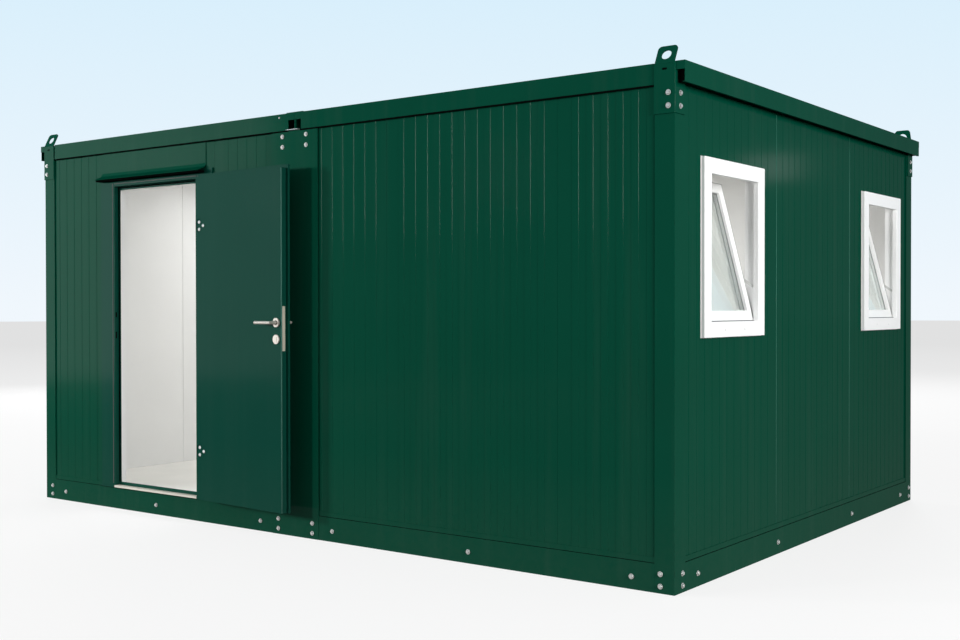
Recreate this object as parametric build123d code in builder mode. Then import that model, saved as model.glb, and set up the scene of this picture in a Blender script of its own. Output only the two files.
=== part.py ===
"""A portable site cabin of two bolted steel modules, lined with ribbed sandwich panels.

Millimetres. X runs along the door front, Y runs from front to back, Z is up. The origin is at
the centre of the footprint, on the ground. The door stands open, as it hangs at rest.
"""

from build123d import *
import os
from math import cos, radians, sin

os.makedirs("parts", exist_ok=True)

# ---------------------------------------------------------------- driving sizes
MODULE_WIDTH = 2486  # one module, over its two roof rails
DEPTH = 3440  # over the front and back posts
ROOF_TOP = 2440  # ground to the top of the roof edge
BASE_HEIGHT = 135  # ground to the top of the base rails
ROOF_EDGE = 98  # height of the roof edge members
RAIL_OVERHANG = 51  # how far a roof rail stands out past its posts
STEEL = 3  # folded steel sheet
SEAT = 0.3  # gap between pieces that are set against each other
MODULE_GAP = 1  # between the two modules

POST_FRONT = 104  # post face seen from the front
POST_SIDE = 107  # post face seen from the side
FLANGE = 70  # width of the base and roof flanges

PANEL = 60  # thickness of a wall panel
PANEL_RECESS = 8  # panel face behind the post faces
PANEL_COVER = 1100  # width that one panel covers
PANEL_JOINT = 1  # open joint between two panels
RIB_PITCH = 82
RIB_WIDTH = 41
RIB_HEIGHT = 1.5
RIB_COUNT = 13
LINING = 2  # white inner sheet
STRIP_WIDTH = 60  # inner strip over a panel joint
STRIP = 2

LAP = 10  # frames lap over the edges of their openings
TRIM_TOP = 163  # top of the strip that covers the panel feet
TRIM = 3

FLOOR_TOP = 138
FLOOR_DECK = 22
JOIST_COUNT = 5
JOIST_PITCH = 640
JOIST_FLANGE = 45

BEAM_WIDTH = 60  # roof beam, web to the post faces
ROOF_PANEL = 60
ROOF_RIB_PITCH = 250
ROOF_RIB_HEIGHT = 20
ROOF_RIB_FOOT = 60
ROOF_RIB_SLOPE = 60  # degrees
CEILING = 2.2
CEILING_DROP = 12

COVER_WIDTH = 370  # plate over the joint of the two modules
COVER = 2.5
CAP_WIDTH = 130
END_LIP = 40  # drop of the rail ends and of the joint cap
RAIL_LIP = 12

BRACKET_DROP = 235  # roof top to the foot of the bracket
BRACKET = 6
BRACKET_SIDE = 90
BRACKET_ROUND = 5  # outer corner of the bracket
BRACKET_GAP = 4  # bracket to the roof edge
SIDE_TAB = 30  # flat top of the side plate, before its rounded corner
LUG_BEND = 6  # roof top down to the bend of the lug
LUG_WIDTH = 101
LUG_LENGTH = 94
LUG_LEAN = 26  # degrees from upright
LUG_HOLE = 50
LUG_HOLE_RISE = 45  # bend to the middle of the hole
LUG_CORNER = 20

# the door
LEAF_WIDTH = 803  # between the lips
LEAF_LIP = 20  # lip that overlaps the frame
LEAF_LIP_THICK = 12
LEAF_THICK = 45
LEAF_FOOT = 155
LEAF_BELOW_ROOF = 331  # roof top to the top of the leaf
DOOR_GAP = 5  # leaf to frame
DOOR_OPEN = 175.6  # degrees from shut
DOOR_SHIFT = 441  # hinge axis to the middle of its module
HINGE_STANDOFF = 10  # hinge axis in front of the shut leaf
HINGE_EDGE = 32  # hinge axis to the edge of the lip
HINGE_RISE = 295  # leaf foot to the lower hinge, and leaf top to the upper one
KNUCKLE_RADIUS = 9
KNUCKLE_HEIGHT = 40
PIN_RADIUS = 5
PIN_PLAY = 0.3
WING_LENGTH = 110
WEB = 6  # web between the fixed knuckle and its wing
WEB_INSET = 2
FRAME_WING = 26
DISH_RADIUS = 45  # dished seat of a hinge's screws, in the inner skin
DISH_DEPTH = 4
DISH_INSET = 48  # edge of the leaf's body to the middle of the dish

FRAME_FACE = 141  # jamb seen from the front
HEAD_FACE = 60
FRAME_PROUD = 4  # frame face in front of the post faces
FRAME_STOP = 15  # jamb stop past the reveal
HEAD_STOP = 22
STOP_THICK = 6
SILL_TOP = 150
SILL_STOP = 22  # height of the sill's stop
SILL_NOSE = 6

LEVER_HEIGHT = 1234
LEVER_BACKSET = 42
LEVER_LENGTH = 132
LEVER_RADIUS = 9
LEVER_REACH = 52  # leaf face to the middle of the lever
SPINDLE_BORE = 8
CYLINDER_DROP = 95
ROSE_RADIUS = 26
ROSE = 8
SPINDLE_RADIUS = 6
FOREND_HEIGHT = 254
FOREND_ABOVE = 93  # forend top above the lever
FOREND_WIDTH = 20
FOREND = 3
LATCH_RISE = 28  # lever to the foot of the latch
LATCH_HEIGHT = 22
BOLT_DROP = 112  # lever down to the foot of the bolt
BOLT_HEIGHT = 35
BOLT_REACH = 1
BOLT_WIDTH = 11
CYLINDER_BARREL = 17
CYLINDER_PROUD = 3

HOOD_PAST_LATCH = 138  # hood past the doorway on the latch side
HOOD_PAST_HINGE = 79
HOOD_DROP = 182
HOOD_REACH = 62
HOOD_FLARE = 27  # height over which the hood leans out
HOOD_BEND = 28
HOOD = 2.5

# the windows in the right wall
WINDOW_WIDTH = 690
WINDOW_HEIGHT = 860
WINDOW_FOOT = 1174
WINDOW_PROUD = 25
WINDOW_FACE = 75
WINDOW_ROUND = 6  # outer rim of the frame
WINDOW_REBATE = 20
REBATE_DEPTH = 5  # rebate floor behind the wall face
SASH_FACE = 55
SASH_THICK = 58
SASH_TILT = 14.5
SASH_GAP = 4
SASH_PIVOT = 12  # pivot above the foot of the sash
GLASS = 24
GLASS_EDGE = 10  # glass held inside the sash
STAY_WIDTH = 14
STAY_UP = 240  # sash pin above the pivot, along the sash
STAY_RISE = 183  # jamb pin above the pivot
BARREL_RADIUS = 6
BARREL_LENGTH = 70
BARREL_INSET = 110

SPOUT_WIDTH = 90
SPOUT_REACH = 25
SPOUT = 2.2

# ---------------------------------------------------------------- places worked out from them
HALF_DEPTH = DEPTH / 2
WIDTH = 2 * (MODULE_WIDTH - RAIL_OVERHANG)
HALF_WIDTH = WIDTH / 2
ROOF_EDGE_FOOT = ROOF_TOP - ROOF_EDGE
PANEL_TOP = ROOF_EDGE_FOOT - SEAT
PANEL_FOOT = BASE_HEIGHT + SEAT
SIDE_CLEAR = HALF_DEPTH - POST_SIDE  # half of a side wall, between its posts
MODULE_MIDDLE = MODULE_WIDTH / 2
INNER_POST = RAIL_OVERHANG + POST_FRONT  # far face of the posts beside the module joint
OUTER_POST = HALF_WIDTH - POST_FRONT
INSIDE_FACE = PANEL_RECESS + PANEL  # inner face of the panels, behind the post faces
HINGE_X = DOOR_SHIFT - MODULE_MIDDLE
LEAF_TOP = ROOF_TOP - LEAF_BELOW_ROOF
HINGE_HEIGHTS = (LEAF_FOOT + HINGE_RISE, LEAF_TOP - HINGE_RISE)

FRONT = Plane(origin=(0, -HALF_DEPTH, 0), x_dir=(1, 0, 0), z_dir=(0, 0, 1))
BACK = Plane(origin=(0, HALF_DEPTH, 0), x_dir=(-1, 0, 0), z_dir=(0, 0, 1))
RIGHT = Plane(origin=(HALF_WIDTH, 0, 0), x_dir=(0, 1, 0), z_dir=(0, 0, 1))
LEFT = Plane(origin=(-HALF_WIDTH, 0, 0), x_dir=(0, -1, 0), z_dir=(0, 0, 1))


def save(piece, name):
    """Label a finished piece and write it under its own name."""
    piece.part.label = name
    export_step(piece.part, f"parts/{name}.step")


def fold(*corners, sheet=STEEL, side=Side.LEFT):
    """Add the section of a sheet folded along the corners, its thickness to one side of them."""
    with BuildLine() as section:
        Polyline(*corners)
        offset(amount=sheet, side=side, kind=Kind.INTERSECTION)
    make_face(section.edges())


def upright(plane, foot, top, *corners):
    """Stand the outline through the corners, drawn on a plan plane, between two heights."""
    with BuildSketch(plane.offset(foot)) as plan:
        with BuildLine() as outline:
            Polyline(*corners, close=True)
        make_face(outline.edges())
    extrude(plan.sketch, amount=top - foot)


# ---------------------------------------------------------------- base frame
DECK_FOOT = FLOOR_TOP - FLOOR_DECK

with BuildPart() as base_rails:
    with BuildSketch(Plane.YZ.offset(INNER_POST + SEAT)):
        fold(
            (FLANGE - HALF_DEPTH, 0),
            (-HALF_DEPTH, 0),
            (-HALF_DEPTH, BASE_HEIGHT),
            (FLANGE - HALF_DEPTH, BASE_HEIGHT),
            side=Side.RIGHT,
        )
    extrude(amount=OUTER_POST - INNER_POST - 2 * SEAT)
    mirror(about=Plane.XZ)
    with BuildSketch(Plane.XZ.offset(-SIDE_CLEAR + SEAT)):
        fold(
            (HALF_WIDTH - FLANGE, 0),
            (HALF_WIDTH, 0),
            (HALF_WIDTH, BASE_HEIGHT),
            (HALF_WIDTH - FLANGE, BASE_HEIGHT),
        )
    extrude(amount=2 * (SIDE_CLEAR - SEAT))
    mirror(about=Plane.YZ)
save(base_rails, "base_rails")

with BuildPart() as base_middle_rail:
    reach = HALF_DEPTH - SEAT
    with BuildSketch(Plane.XZ.offset(-reach)):
        fold((RAIL_OVERHANG - SEAT, 0), (0, 0), (0, DECK_FOOT), side=Side.RIGHT)
    extrude(amount=2 * reach)
    mirror(about=Plane.YZ)
save(base_middle_rail, "base_middle_rail")

with BuildPart() as floor_joists:
    joist_near = STEEL + SEAT
    joist_far = HALF_WIDTH - STEEL - SEAT
    with BuildSketch(Plane.YZ.offset(joist_near)):
        for row in range(JOIST_COUNT):
            joist_y = (row - (JOIST_COUNT - 1) / 2) * JOIST_PITCH
            fold(
                (joist_y + JOIST_FLANGE, STEEL),
                (joist_y, STEEL),
                (joist_y, DECK_FOOT),
                (joist_y + JOIST_FLANGE, DECK_FOOT),
                side=Side.RIGHT,
            )
    extrude(amount=joist_far - joist_near)
    mirror(about=Plane.YZ)
save(floor_joists, "floor_joists")

with BuildPart() as floor_decks:
    deck_depth = HALF_DEPTH - FLANGE - SEAT
    deck_near = MODULE_GAP / 2
    deck_far = HALF_WIDTH - FLANGE - SEAT
    upright(
        Plane.XY,
        DECK_FOOT,
        FLOOR_TOP,
        (deck_near, -deck_depth),
        (deck_far, -deck_depth),
        (deck_far, deck_depth),
        (deck_near, deck_depth),
    )
    mirror(about=Plane.YZ)
save(floor_decks, "floor_decks")

# ---------------------------------------------------------------- posts
with BuildPart() as corner_posts:
    with BuildSketch():
        fold(
            (OUTER_POST, INSIDE_FACE - HALF_DEPTH),
            (OUTER_POST, -HALF_DEPTH),
            (HALF_WIDTH, -HALF_DEPTH),
            (HALF_WIDTH, -SIDE_CLEAR),
            (HALF_WIDTH - INSIDE_FACE, -SIDE_CLEAR),
        )
    extrude(amount=ROOF_EDGE_FOOT)
    mirror(about=Plane.YZ)
    mirror(about=Plane.XZ)
save(corner_posts, "corner_posts")

with BuildPart() as middle_posts:
    with BuildSketch():
        fold(
            (RAIL_OVERHANG, INSIDE_FACE - HALF_DEPTH),
            (RAIL_OVERHANG, -HALF_DEPTH),
            (INNER_POST, -HALF_DEPTH),
            (INNER_POST, INSIDE_FACE - HALF_DEPTH),
        )
    extrude(amount=ROOF_EDGE_FOOT)
    mirror(about=Plane.YZ)
    mirror(about=Plane.XZ)
save(middle_posts, "middle_posts")

with BuildPart() as joint_covers:
    upright(
        FRONT,
        0,
        ROOF_EDGE_FOOT - 2 * STEEL,
        (-COVER_WIDTH / 2, -COVER),
        (COVER_WIDTH / 2, -COVER),
        (COVER_WIDTH / 2, -SEAT),
        (-COVER_WIDTH / 2, -SEAT),
    )
    mirror(about=Plane.XZ)
save(joint_covers, "joint_covers")


# ---------------------------------------------------------------- ribbed wall panels
def panel_corners(left, right, joint):
    """Corners of a panel's plan: a flat inner face, and ribs from the joint onwards outside."""
    corners = [(right, INSIDE_FACE), (left, INSIDE_FACE), (left, PANEL_RECESS)]
    for rib in range(RIB_COUNT):
        foot = joint + rib * RIB_PITCH
        if foot < left or foot + RIB_WIDTH > right - RIB_HEIGHT:
            continue
        corners += [
            (foot + RIB_HEIGHT, PANEL_RECESS),
            (foot + 2 * RIB_HEIGHT, PANEL_RECESS - RIB_HEIGHT),
            (foot + RIB_WIDTH - RIB_HEIGHT, PANEL_RECESS - RIB_HEIGHT),
            (foot + RIB_WIDTH, PANEL_RECESS),
        ]
    return corners + [(right, PANEL_RECESS)]


def stand_panels(plane, left, right, joint, foot=PANEL_FOOT, top=PANEL_TOP):
    """Stand panels from left to right, with joints at every cover width from joint."""
    start = joint + (left - joint) // PANEL_COVER * PANEL_COVER
    while start < right:
        panel_left = max(left, start + PANEL_JOINT / 2)
        panel_right = min(right, start + PANEL_COVER - PANEL_JOINT / 2)
        upright(plane, foot, top, *panel_corners(panel_left, panel_right, start))
        start += PANEL_COVER


REVEAL_LEFT = HINGE_X - HINGE_EDGE - LEAF_LIP - LEAF_WIDTH - DOOR_GAP
REVEAL_RIGHT = HINGE_X - HINGE_EDGE - LEAF_LIP + DOOR_GAP
REVEAL_TOP = LEAF_TOP + DOOR_GAP
DOORWAY_LEFT = REVEAL_LEFT - FRAME_FACE + LAP
DOORWAY_RIGHT = REVEAL_RIGHT + FRAME_FACE - LAP
DOORWAY_TOP = REVEAL_TOP + HEAD_FACE - LAP
RIGHT_JOINT = MODULE_MIDDLE - PANEL_COVER / 2
LEFT_JOINT = -MODULE_MIDDLE - PANEL_COVER / 2

with BuildPart() as front_wall_left_of_door:
    stand_panels(FRONT, SEAT - OUTER_POST, DOORWAY_LEFT - SEAT, LEFT_JOINT)
save(front_wall_left_of_door, "front_wall_left_of_door")

with BuildPart() as front_wall_right_of_door:
    stand_panels(FRONT, DOORWAY_RIGHT + SEAT, -INNER_POST - SEAT, LEFT_JOINT)
save(front_wall_right_of_door, "front_wall_right_of_door")

with BuildPart() as front_wall_over_door:
    stand_panels(FRONT, DOORWAY_LEFT, DOORWAY_RIGHT, LEFT_JOINT, DOORWAY_TOP + SEAT)
save(front_wall_over_door, "front_wall_over_door")

with BuildPart() as front_wall_right:
    stand_panels(FRONT, INNER_POST + SEAT, OUTER_POST - SEAT, RIGHT_JOINT)
save(front_wall_right, "front_wall_right")

with BuildPart() as back_wall:
    stand_panels(BACK, INNER_POST + SEAT, OUTER_POST - SEAT, RIGHT_JOINT)
    stand_panels(BACK, SEAT - OUTER_POST, -INNER_POST - SEAT, LEFT_JOINT)
save(back_wall, "back_wall")

with BuildPart() as left_wall:
    stand_panels(LEFT, SEAT - SIDE_CLEAR, SIDE_CLEAR - SEAT, PANEL_COVER / 2)
save(left_wall, "left_wall")

with BuildPart() as right_wall_middle:
    stand_panels(RIGHT, -PANEL_COVER / 2, PANEL_COVER / 2, PANEL_COVER / 2)
save(right_wall_middle, "right_wall_middle")

WALL_FACE = HALF_WIDTH - PANEL_RECESS
WALL_INSIDE = HALF_WIDTH - INSIDE_FACE
WINDOW_PLACES = (-PANEL_COVER, PANEL_COVER)
WINDOW_MIDDLE = WINDOW_FOOT + WINDOW_HEIGHT / 2
OPENING_WIDTH = WINDOW_WIDTH - 2 * LAP
OPENING_HEIGHT = WINDOW_HEIGHT - 2 * LAP

for name, window_y in zip(("front", "back"), WINDOW_PLACES):
    side = 1 if window_y > 0 else -1
    ends = sorted((side * PANEL_COVER / 2, side * (SIDE_CLEAR - SEAT)))
    with BuildPart() as window_panel:
        stand_panels(RIGHT, *ends, PANEL_COVER / 2)
        with BuildSketch(Plane.YZ.offset(WALL_INSIDE)):
            with Locations((window_y, WINDOW_MIDDLE)):
                Rectangle(OPENING_WIDTH, OPENING_HEIGHT)
        extrude(amount=PANEL + RIB_HEIGHT, mode=Mode.SUBTRACT)
    save(window_panel, f"right_wall_{name}")

# ---------------------------------------------------------------- white inner lining
LINE_X = WALL_INSIDE - SEAT
LINE_Y = HALF_DEPTH - INSIDE_FACE - SEAT
LINING_FOOT = FLOOR_TOP + SEAT
LINING_TOP = ROOF_EDGE_FOOT - SEAT


def strips(plane, joints):
    """Stand the flat strips that cover the panel joints, against the lining."""
    face = INSIDE_FACE + 2 * SEAT + LINING
    for joint in joints:
        upright(
            plane,
            LINING_FOOT,
            LINING_TOP,
            (joint - STRIP_WIDTH / 2, face),
            (joint + STRIP_WIDTH / 2, face),
            (joint + STRIP_WIDTH / 2, face + STRIP),
            (joint - STRIP_WIDTH / 2, face + STRIP),
        )


module_joints = [
    side * MODULE_MIDDLE + half * PANEL_COVER / 2 for side in (-1, 1) for half in (-1, 1)
]
side_joints = [half * PANEL_COVER / 2 for half in (-1, 1)]

with BuildPart() as wall_lining:
    lining_middle = (LINING_FOOT + LINING_TOP) / 2
    lining_height = LINING_TOP - LINING_FOOT
    with BuildSketch(Plane.XZ.offset(LINE_Y)):
        with Locations((0, lining_middle)):
            Rectangle(2 * (LINE_X - LINING - SEAT), lining_height)
        with BuildLine() as doorway:
            Polyline(
                (DOORWAY_LEFT, 0),
                (DOORWAY_RIGHT, 0),
                (DOORWAY_RIGHT, DOORWAY_TOP),
                (DOORWAY_LEFT, DOORWAY_TOP),
                close=True,
            )
        make_face(doorway.edges(), mode=Mode.SUBTRACT)
    extrude(amount=-LINING)
    with BuildSketch(Plane.XZ.offset(-LINE_Y)):
        with Locations((0, lining_middle)):
            Rectangle(2 * (LINE_X - LINING - SEAT), lining_height)
    extrude(amount=LINING)
    with BuildSketch(Plane.YZ.offset(-LINE_X)):
        with Locations((0, lining_middle)):
            Rectangle(2 * LINE_Y, lining_height)
    extrude(amount=LINING)
    with BuildSketch(Plane.YZ.offset(LINE_X)):
        with Locations((0, lining_middle)):
            Rectangle(2 * LINE_Y, lining_height)
        with Locations(*[(window_y, WINDOW_MIDDLE) for window_y in WINDOW_PLACES]):
            Rectangle(OPENING_WIDTH, OPENING_HEIGHT, mode=Mode.SUBTRACT)
    extrude(amount=-LINING)
save(wall_lining, "wall_lining")

with BuildPart() as lining_strips:
    strips(FRONT, [joint for joint in module_joints if joint > DOORWAY_RIGHT + STRIP_WIDTH])
    strips(BACK, module_joints)
    strips(LEFT, side_joints)
    strips(RIGHT, side_joints)
save(lining_strips, "lining_strips")

# ---------------------------------------------------------------- strips over the panel feet
with BuildPart() as base_trims:
    for plane, spans in (
        (FRONT, ((-OUTER_POST, DOORWAY_LEFT - LAP), (COVER_WIDTH / 2, OUTER_POST))),
        (FRONT, ((DOORWAY_RIGHT + LAP, -COVER_WIDTH / 2),)),
        (BACK, ((-OUTER_POST, -COVER_WIDTH / 2), (COVER_WIDTH / 2, OUTER_POST))),
        (RIGHT, ((-SIDE_CLEAR, SIDE_CLEAR),)),
        (LEFT, ((-SIDE_CLEAR, SIDE_CLEAR),)),
    ):
        face = PANEL_RECESS - RIB_HEIGHT - SEAT
        for left, right in spans:
            upright(
                plane,
                PANEL_FOOT,
                TRIM_TOP,
                (left + SEAT, face - TRIM),
                (right - SEAT, face - TRIM),
                (right - SEAT, face),
                (left + SEAT, face),
            )
save(base_trims, "base_trims")

# ---------------------------------------------------------------- roof
BEAM_WEB = HALF_WIDTH - BEAM_WIDTH  # web of the outer roof beam
MIDDLE_WEB = MODULE_WIDTH + MODULE_GAP / 2 - BEAM_WEB  # web of the beam beside the module joint
EDGE_INSIDE = HALF_DEPTH - STEEL - SEAT  # behind the web of the roof edge

with BuildPart() as roof_edges:
    with BuildSketch(Plane.YZ.offset(MIDDLE_WEB + SEAT)):
        fold(
            (FLANGE - HALF_DEPTH, ROOF_EDGE_FOOT),
            (-HALF_DEPTH, ROOF_EDGE_FOOT),
            (-HALF_DEPTH, ROOF_TOP),
            (FLANGE - HALF_DEPTH, ROOF_TOP),
            side=Side.RIGHT,
        )
    extrude(amount=OUTER_POST - BRACKET_GAP - MIDDLE_WEB - SEAT)
    with BuildSketch(Plane.YZ.offset(RAIL_OVERHANG + MODULE_GAP / 2)):
        with Locations((STEEL / 2 - HALF_DEPTH, ROOF_TOP - ROOF_EDGE / 2)):
            Rectangle(STEEL, ROOF_EDGE)
    extrude(amount=MIDDLE_WEB + SEAT + STEEL - RAIL_OVERHANG)
    mirror(about=Plane.YZ)
    mirror(about=Plane.XZ)
save(roof_edges, "roof_edges")

with BuildPart() as roof_rails:
    rail_face = HALF_WIDTH + RAIL_OVERHANG
    with BuildSketch(Plane.XZ.offset(-EDGE_INSIDE)):
        fold(
            (HALF_WIDTH - STEEL, ROOF_EDGE_FOOT),
            (BEAM_WEB, ROOF_EDGE_FOOT),
            (BEAM_WEB, ROOF_TOP),
            (rail_face, ROOF_TOP),
            (rail_face, ROOF_EDGE_FOOT),
            (rail_face - RAIL_LIP, ROOF_EDGE_FOOT),
        )
    extrude(amount=2 * EDGE_INSIDE)
    with BuildSketch(Plane.XZ.offset(HALF_DEPTH)):
        with Locations((rail_face, ROOF_TOP)):
            Rectangle(RAIL_OVERHANG - SEAT, END_LIP, align=(Align.MAX, Align.MAX))
    extrude(amount=-STEEL - SEAT)
    with BuildSketch(Plane.XZ.offset(-HALF_DEPTH)):
        with Locations((rail_face, ROOF_TOP)):
            Rectangle(RAIL_OVERHANG - SEAT, END_LIP, align=(Align.MAX, Align.MAX))
    extrude(amount=STEEL + SEAT)
    mirror(about=Plane.YZ.offset(MODULE_MIDDLE + MODULE_GAP / 4))
    mirror(about=Plane.YZ)
save(roof_rails, "roof_rails")

with BuildPart() as roof_joint_cap:
    upright(
        Plane.XY,
        ROOF_TOP + SEAT,
        ROOF_TOP + SEAT + STEEL,
        (-CAP_WIDTH / 2, -HALF_DEPTH),
        (CAP_WIDTH / 2, -HALF_DEPTH),
        (CAP_WIDTH / 2, HALF_DEPTH),
        (-CAP_WIDTH / 2, HALF_DEPTH),
    )
save(roof_joint_cap, "roof_joint_cap")

with BuildPart() as gutter_spouts:
    spout_top = ROOF_EDGE_FOOT - SEAT
    upright(
        FRONT,
        spout_top - SPOUT,
        spout_top,
        (-SPOUT_WIDTH / 2, -SPOUT_REACH),
        (SPOUT_WIDTH / 2, -SPOUT_REACH),
        (SPOUT_WIDTH / 2, INSIDE_FACE),
        (-SPOUT_WIDTH / 2, INSIDE_FACE),
    )
    mirror(about=Plane.XZ)
save(gutter_spouts, "gutter_spouts")

PANEL_UNDER = ROOF_EDGE_FOOT + STEEL
with BuildPart() as roof_panels:
    panel_near = MIDDLE_WEB + SEAT
    panel_far = BEAM_WEB - SEAT
    with BuildSketch(Plane.YZ.offset(panel_near)):
        with Locations((0, PANEL_UNDER + ROOF_PANEL / 2)):
            Rectangle(2 * EDGE_INSIDE, ROOF_PANEL)
        rib_rows = int((DEPTH - 2 * FLANGE) / ROOF_RIB_PITCH)
        with Locations((0, PANEL_UNDER + ROOF_PANEL)):
            with GridLocations(ROOF_RIB_PITCH, 0, rib_rows, 1):
                Trapezoid(
                    ROOF_RIB_FOOT,
                    ROOF_RIB_HEIGHT,
                    ROOF_RIB_SLOPE,
                    align=(Align.CENTER, Align.MIN),
                )
    extrude(amount=panel_far - panel_near)
    mirror(about=Plane.YZ)
save(roof_panels, "roof_panels")

with BuildPart() as ceiling:
    ceiling_depth = HALF_DEPTH - FLANGE - SEAT
    upright(
        Plane.XY,
        PANEL_UNDER - CEILING,
        PANEL_UNDER,
        (MIDDLE_WEB + SEAT, -ceiling_depth),
        (BEAM_WEB - SEAT, -ceiling_depth),
        (BEAM_WEB - SEAT, ceiling_depth),
        (MIDDLE_WEB + SEAT, ceiling_depth),
    )
    mirror(about=Plane.YZ)
save(ceiling, "ceiling")

with BuildPart() as ceiling_joint_cover:
    cover_side = MIDDLE_WEB + STRIP_WIDTH
    cover_top = PANEL_UNDER - CEILING - SEAT
    with BuildSketch(Plane.XZ.offset(LINING + SEAT - LINE_Y)):
        fold(
            (-cover_side, cover_top),
            (-cover_side, cover_top - CEILING_DROP),
            (cover_side, cover_top - CEILING_DROP),
            (cover_side, cover_top),
            sheet=LINING,
        )
    extrude(amount=2 * (LINE_Y - LINING - SEAT))
save(ceiling_joint_cover, "ceiling_joint_cover")

# ---------------------------------------------------------------- corner brackets with lifting lugs
with BuildPart() as lifting_brackets:
    bracket_foot = ROOF_TOP - BRACKET_DROP
    upright(
        Plane.XY,
        bracket_foot,
        ROOF_TOP - LUG_BEND,
        (OUTER_POST, -HALF_DEPTH),
        (OUTER_POST, -HALF_DEPTH - BRACKET),
        (HALF_WIDTH + BRACKET, -HALF_DEPTH - BRACKET),
        (HALF_WIDTH + BRACKET, -HALF_DEPTH),
    )
    with BuildSketch(Plane.YZ.offset(HALF_WIDTH)):
        with BuildLine():
            tab_top = ROOF_TOP - END_LIP - SEAT
            tab_round = BRACKET_SIDE - SIDE_TAB
            Line((-HALF_DEPTH, bracket_foot), (-HALF_DEPTH, tab_top))
            Line((-HALF_DEPTH, tab_top), (SIDE_TAB - HALF_DEPTH, tab_top))
            RadiusArc(
                (SIDE_TAB - HALF_DEPTH, tab_top),
                (BRACKET_SIDE - HALF_DEPTH, tab_top - tab_round),
                tab_round,
            )
            Line(
                (BRACKET_SIDE - HALF_DEPTH, tab_top - tab_round),
                (BRACKET_SIDE - HALF_DEPTH, bracket_foot),
            )
            Line((BRACKET_SIDE - HALF_DEPTH, bracket_foot), (-HALF_DEPTH, bracket_foot))
        make_face()
    extrude(amount=BRACKET)
    uprights = edges().filter_by(Axis.Z).group_by(Axis.X)[-1]
    fillet(uprights.sort_by(Axis.Y)[0], BRACKET_ROUND)
    lug_plane = Plane(
        origin=(HALF_WIDTH - LUG_WIDTH / 2, -HALF_DEPTH, ROOF_TOP - LUG_BEND),
        x_dir=(1, 0, 0),
        z_dir=(0, -cos(radians(LUG_LEAN)), sin(radians(LUG_LEAN))),
    )
    with BuildSketch(lug_plane):
        with Locations((0, -BRACKET / 2)):
            Rectangle(LUG_WIDTH, LUG_LENGTH + BRACKET / 2, align=(Align.CENTER, Align.MIN))
        fillet(vertices().group_by(Axis.Y)[-1], LUG_CORNER)
        with Locations((0, LUG_HOLE_RISE)):
            Circle(LUG_HOLE / 2, mode=Mode.SUBTRACT)
    extrude(amount=BRACKET)
    mirror(about=Plane.YZ)
    mirror(about=Plane.XZ)
save(lifting_brackets, "lifting_brackets")

# ---------------------------------------------------------------- doorway
FRAME_FRONT = -HALF_DEPTH - FRAME_PROUD
LEAF_OUTER = FRAME_FRONT - DOOR_GAP - LEAF_LIP_THICK
HINGE_Y = LEAF_OUTER - HINGE_STANDOFF
STOP_FRONT = LEAF_OUTER + LEAF_THICK + DOOR_GAP
STOP_BACK = STOP_FRONT + STOP_THICK
FLANGE_BACK = PANEL_RECESS - RIB_HEIGHT - SEAT - HALF_DEPTH
ROOM_FACE = -LINE_Y + LINING

with BuildPart() as door_jambs:
    upright(
        Plane.XY,
        BASE_HEIGHT + SEAT,
        REVEAL_TOP + HEAD_FACE,
        (REVEAL_LEFT - FRAME_FACE, FRAME_FRONT),
        (REVEAL_LEFT, FRAME_FRONT),
        (REVEAL_LEFT, FLANGE_BACK),
        (REVEAL_LEFT - FRAME_FACE, FLANGE_BACK),
    )
    upright(
        Plane.XY,
        BASE_HEIGHT + SEAT,
        DOORWAY_TOP,
        (DOORWAY_LEFT, FRAME_FRONT),
        (REVEAL_LEFT, FRAME_FRONT),
        (REVEAL_LEFT, STOP_FRONT),
        (REVEAL_LEFT + FRAME_STOP, STOP_FRONT),
        (REVEAL_LEFT + FRAME_STOP, STOP_BACK),
        (DOORWAY_LEFT, STOP_BACK),
    )
    mirror(about=Plane.YZ.offset((REVEAL_LEFT + REVEAL_RIGHT) / 2))
save(door_jambs, "door_jambs")

with BuildPart() as door_head:
    with BuildSketch(Plane.YZ.offset(REVEAL_LEFT + SEAT)):
        with BuildLine():
            Polyline(
                (FRAME_FRONT, REVEAL_TOP),
                (STOP_FRONT, REVEAL_TOP),
                (STOP_FRONT, DOORWAY_TOP),
                (FLANGE_BACK, DOORWAY_TOP),
                (FLANGE_BACK, REVEAL_TOP + HEAD_FACE),
                (FRAME_FRONT, REVEAL_TOP + HEAD_FACE),
                close=True,
            )
        make_face()
    extrude(amount=REVEAL_RIGHT - REVEAL_LEFT - 2 * SEAT)
    stop_span = REVEAL_RIGHT - REVEAL_LEFT - 2 * FRAME_STOP - 2 * SEAT
    with BuildSketch(Plane.YZ.offset(REVEAL_LEFT + FRAME_STOP + SEAT)):
        with Locations((STOP_FRONT, REVEAL_TOP - HEAD_STOP)):
            Rectangle(STOP_THICK, HEAD_FACE - LAP + HEAD_STOP, align=(Align.MIN, Align.MIN))
    extrude(amount=stop_span)
save(door_head, "door_head")

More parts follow.
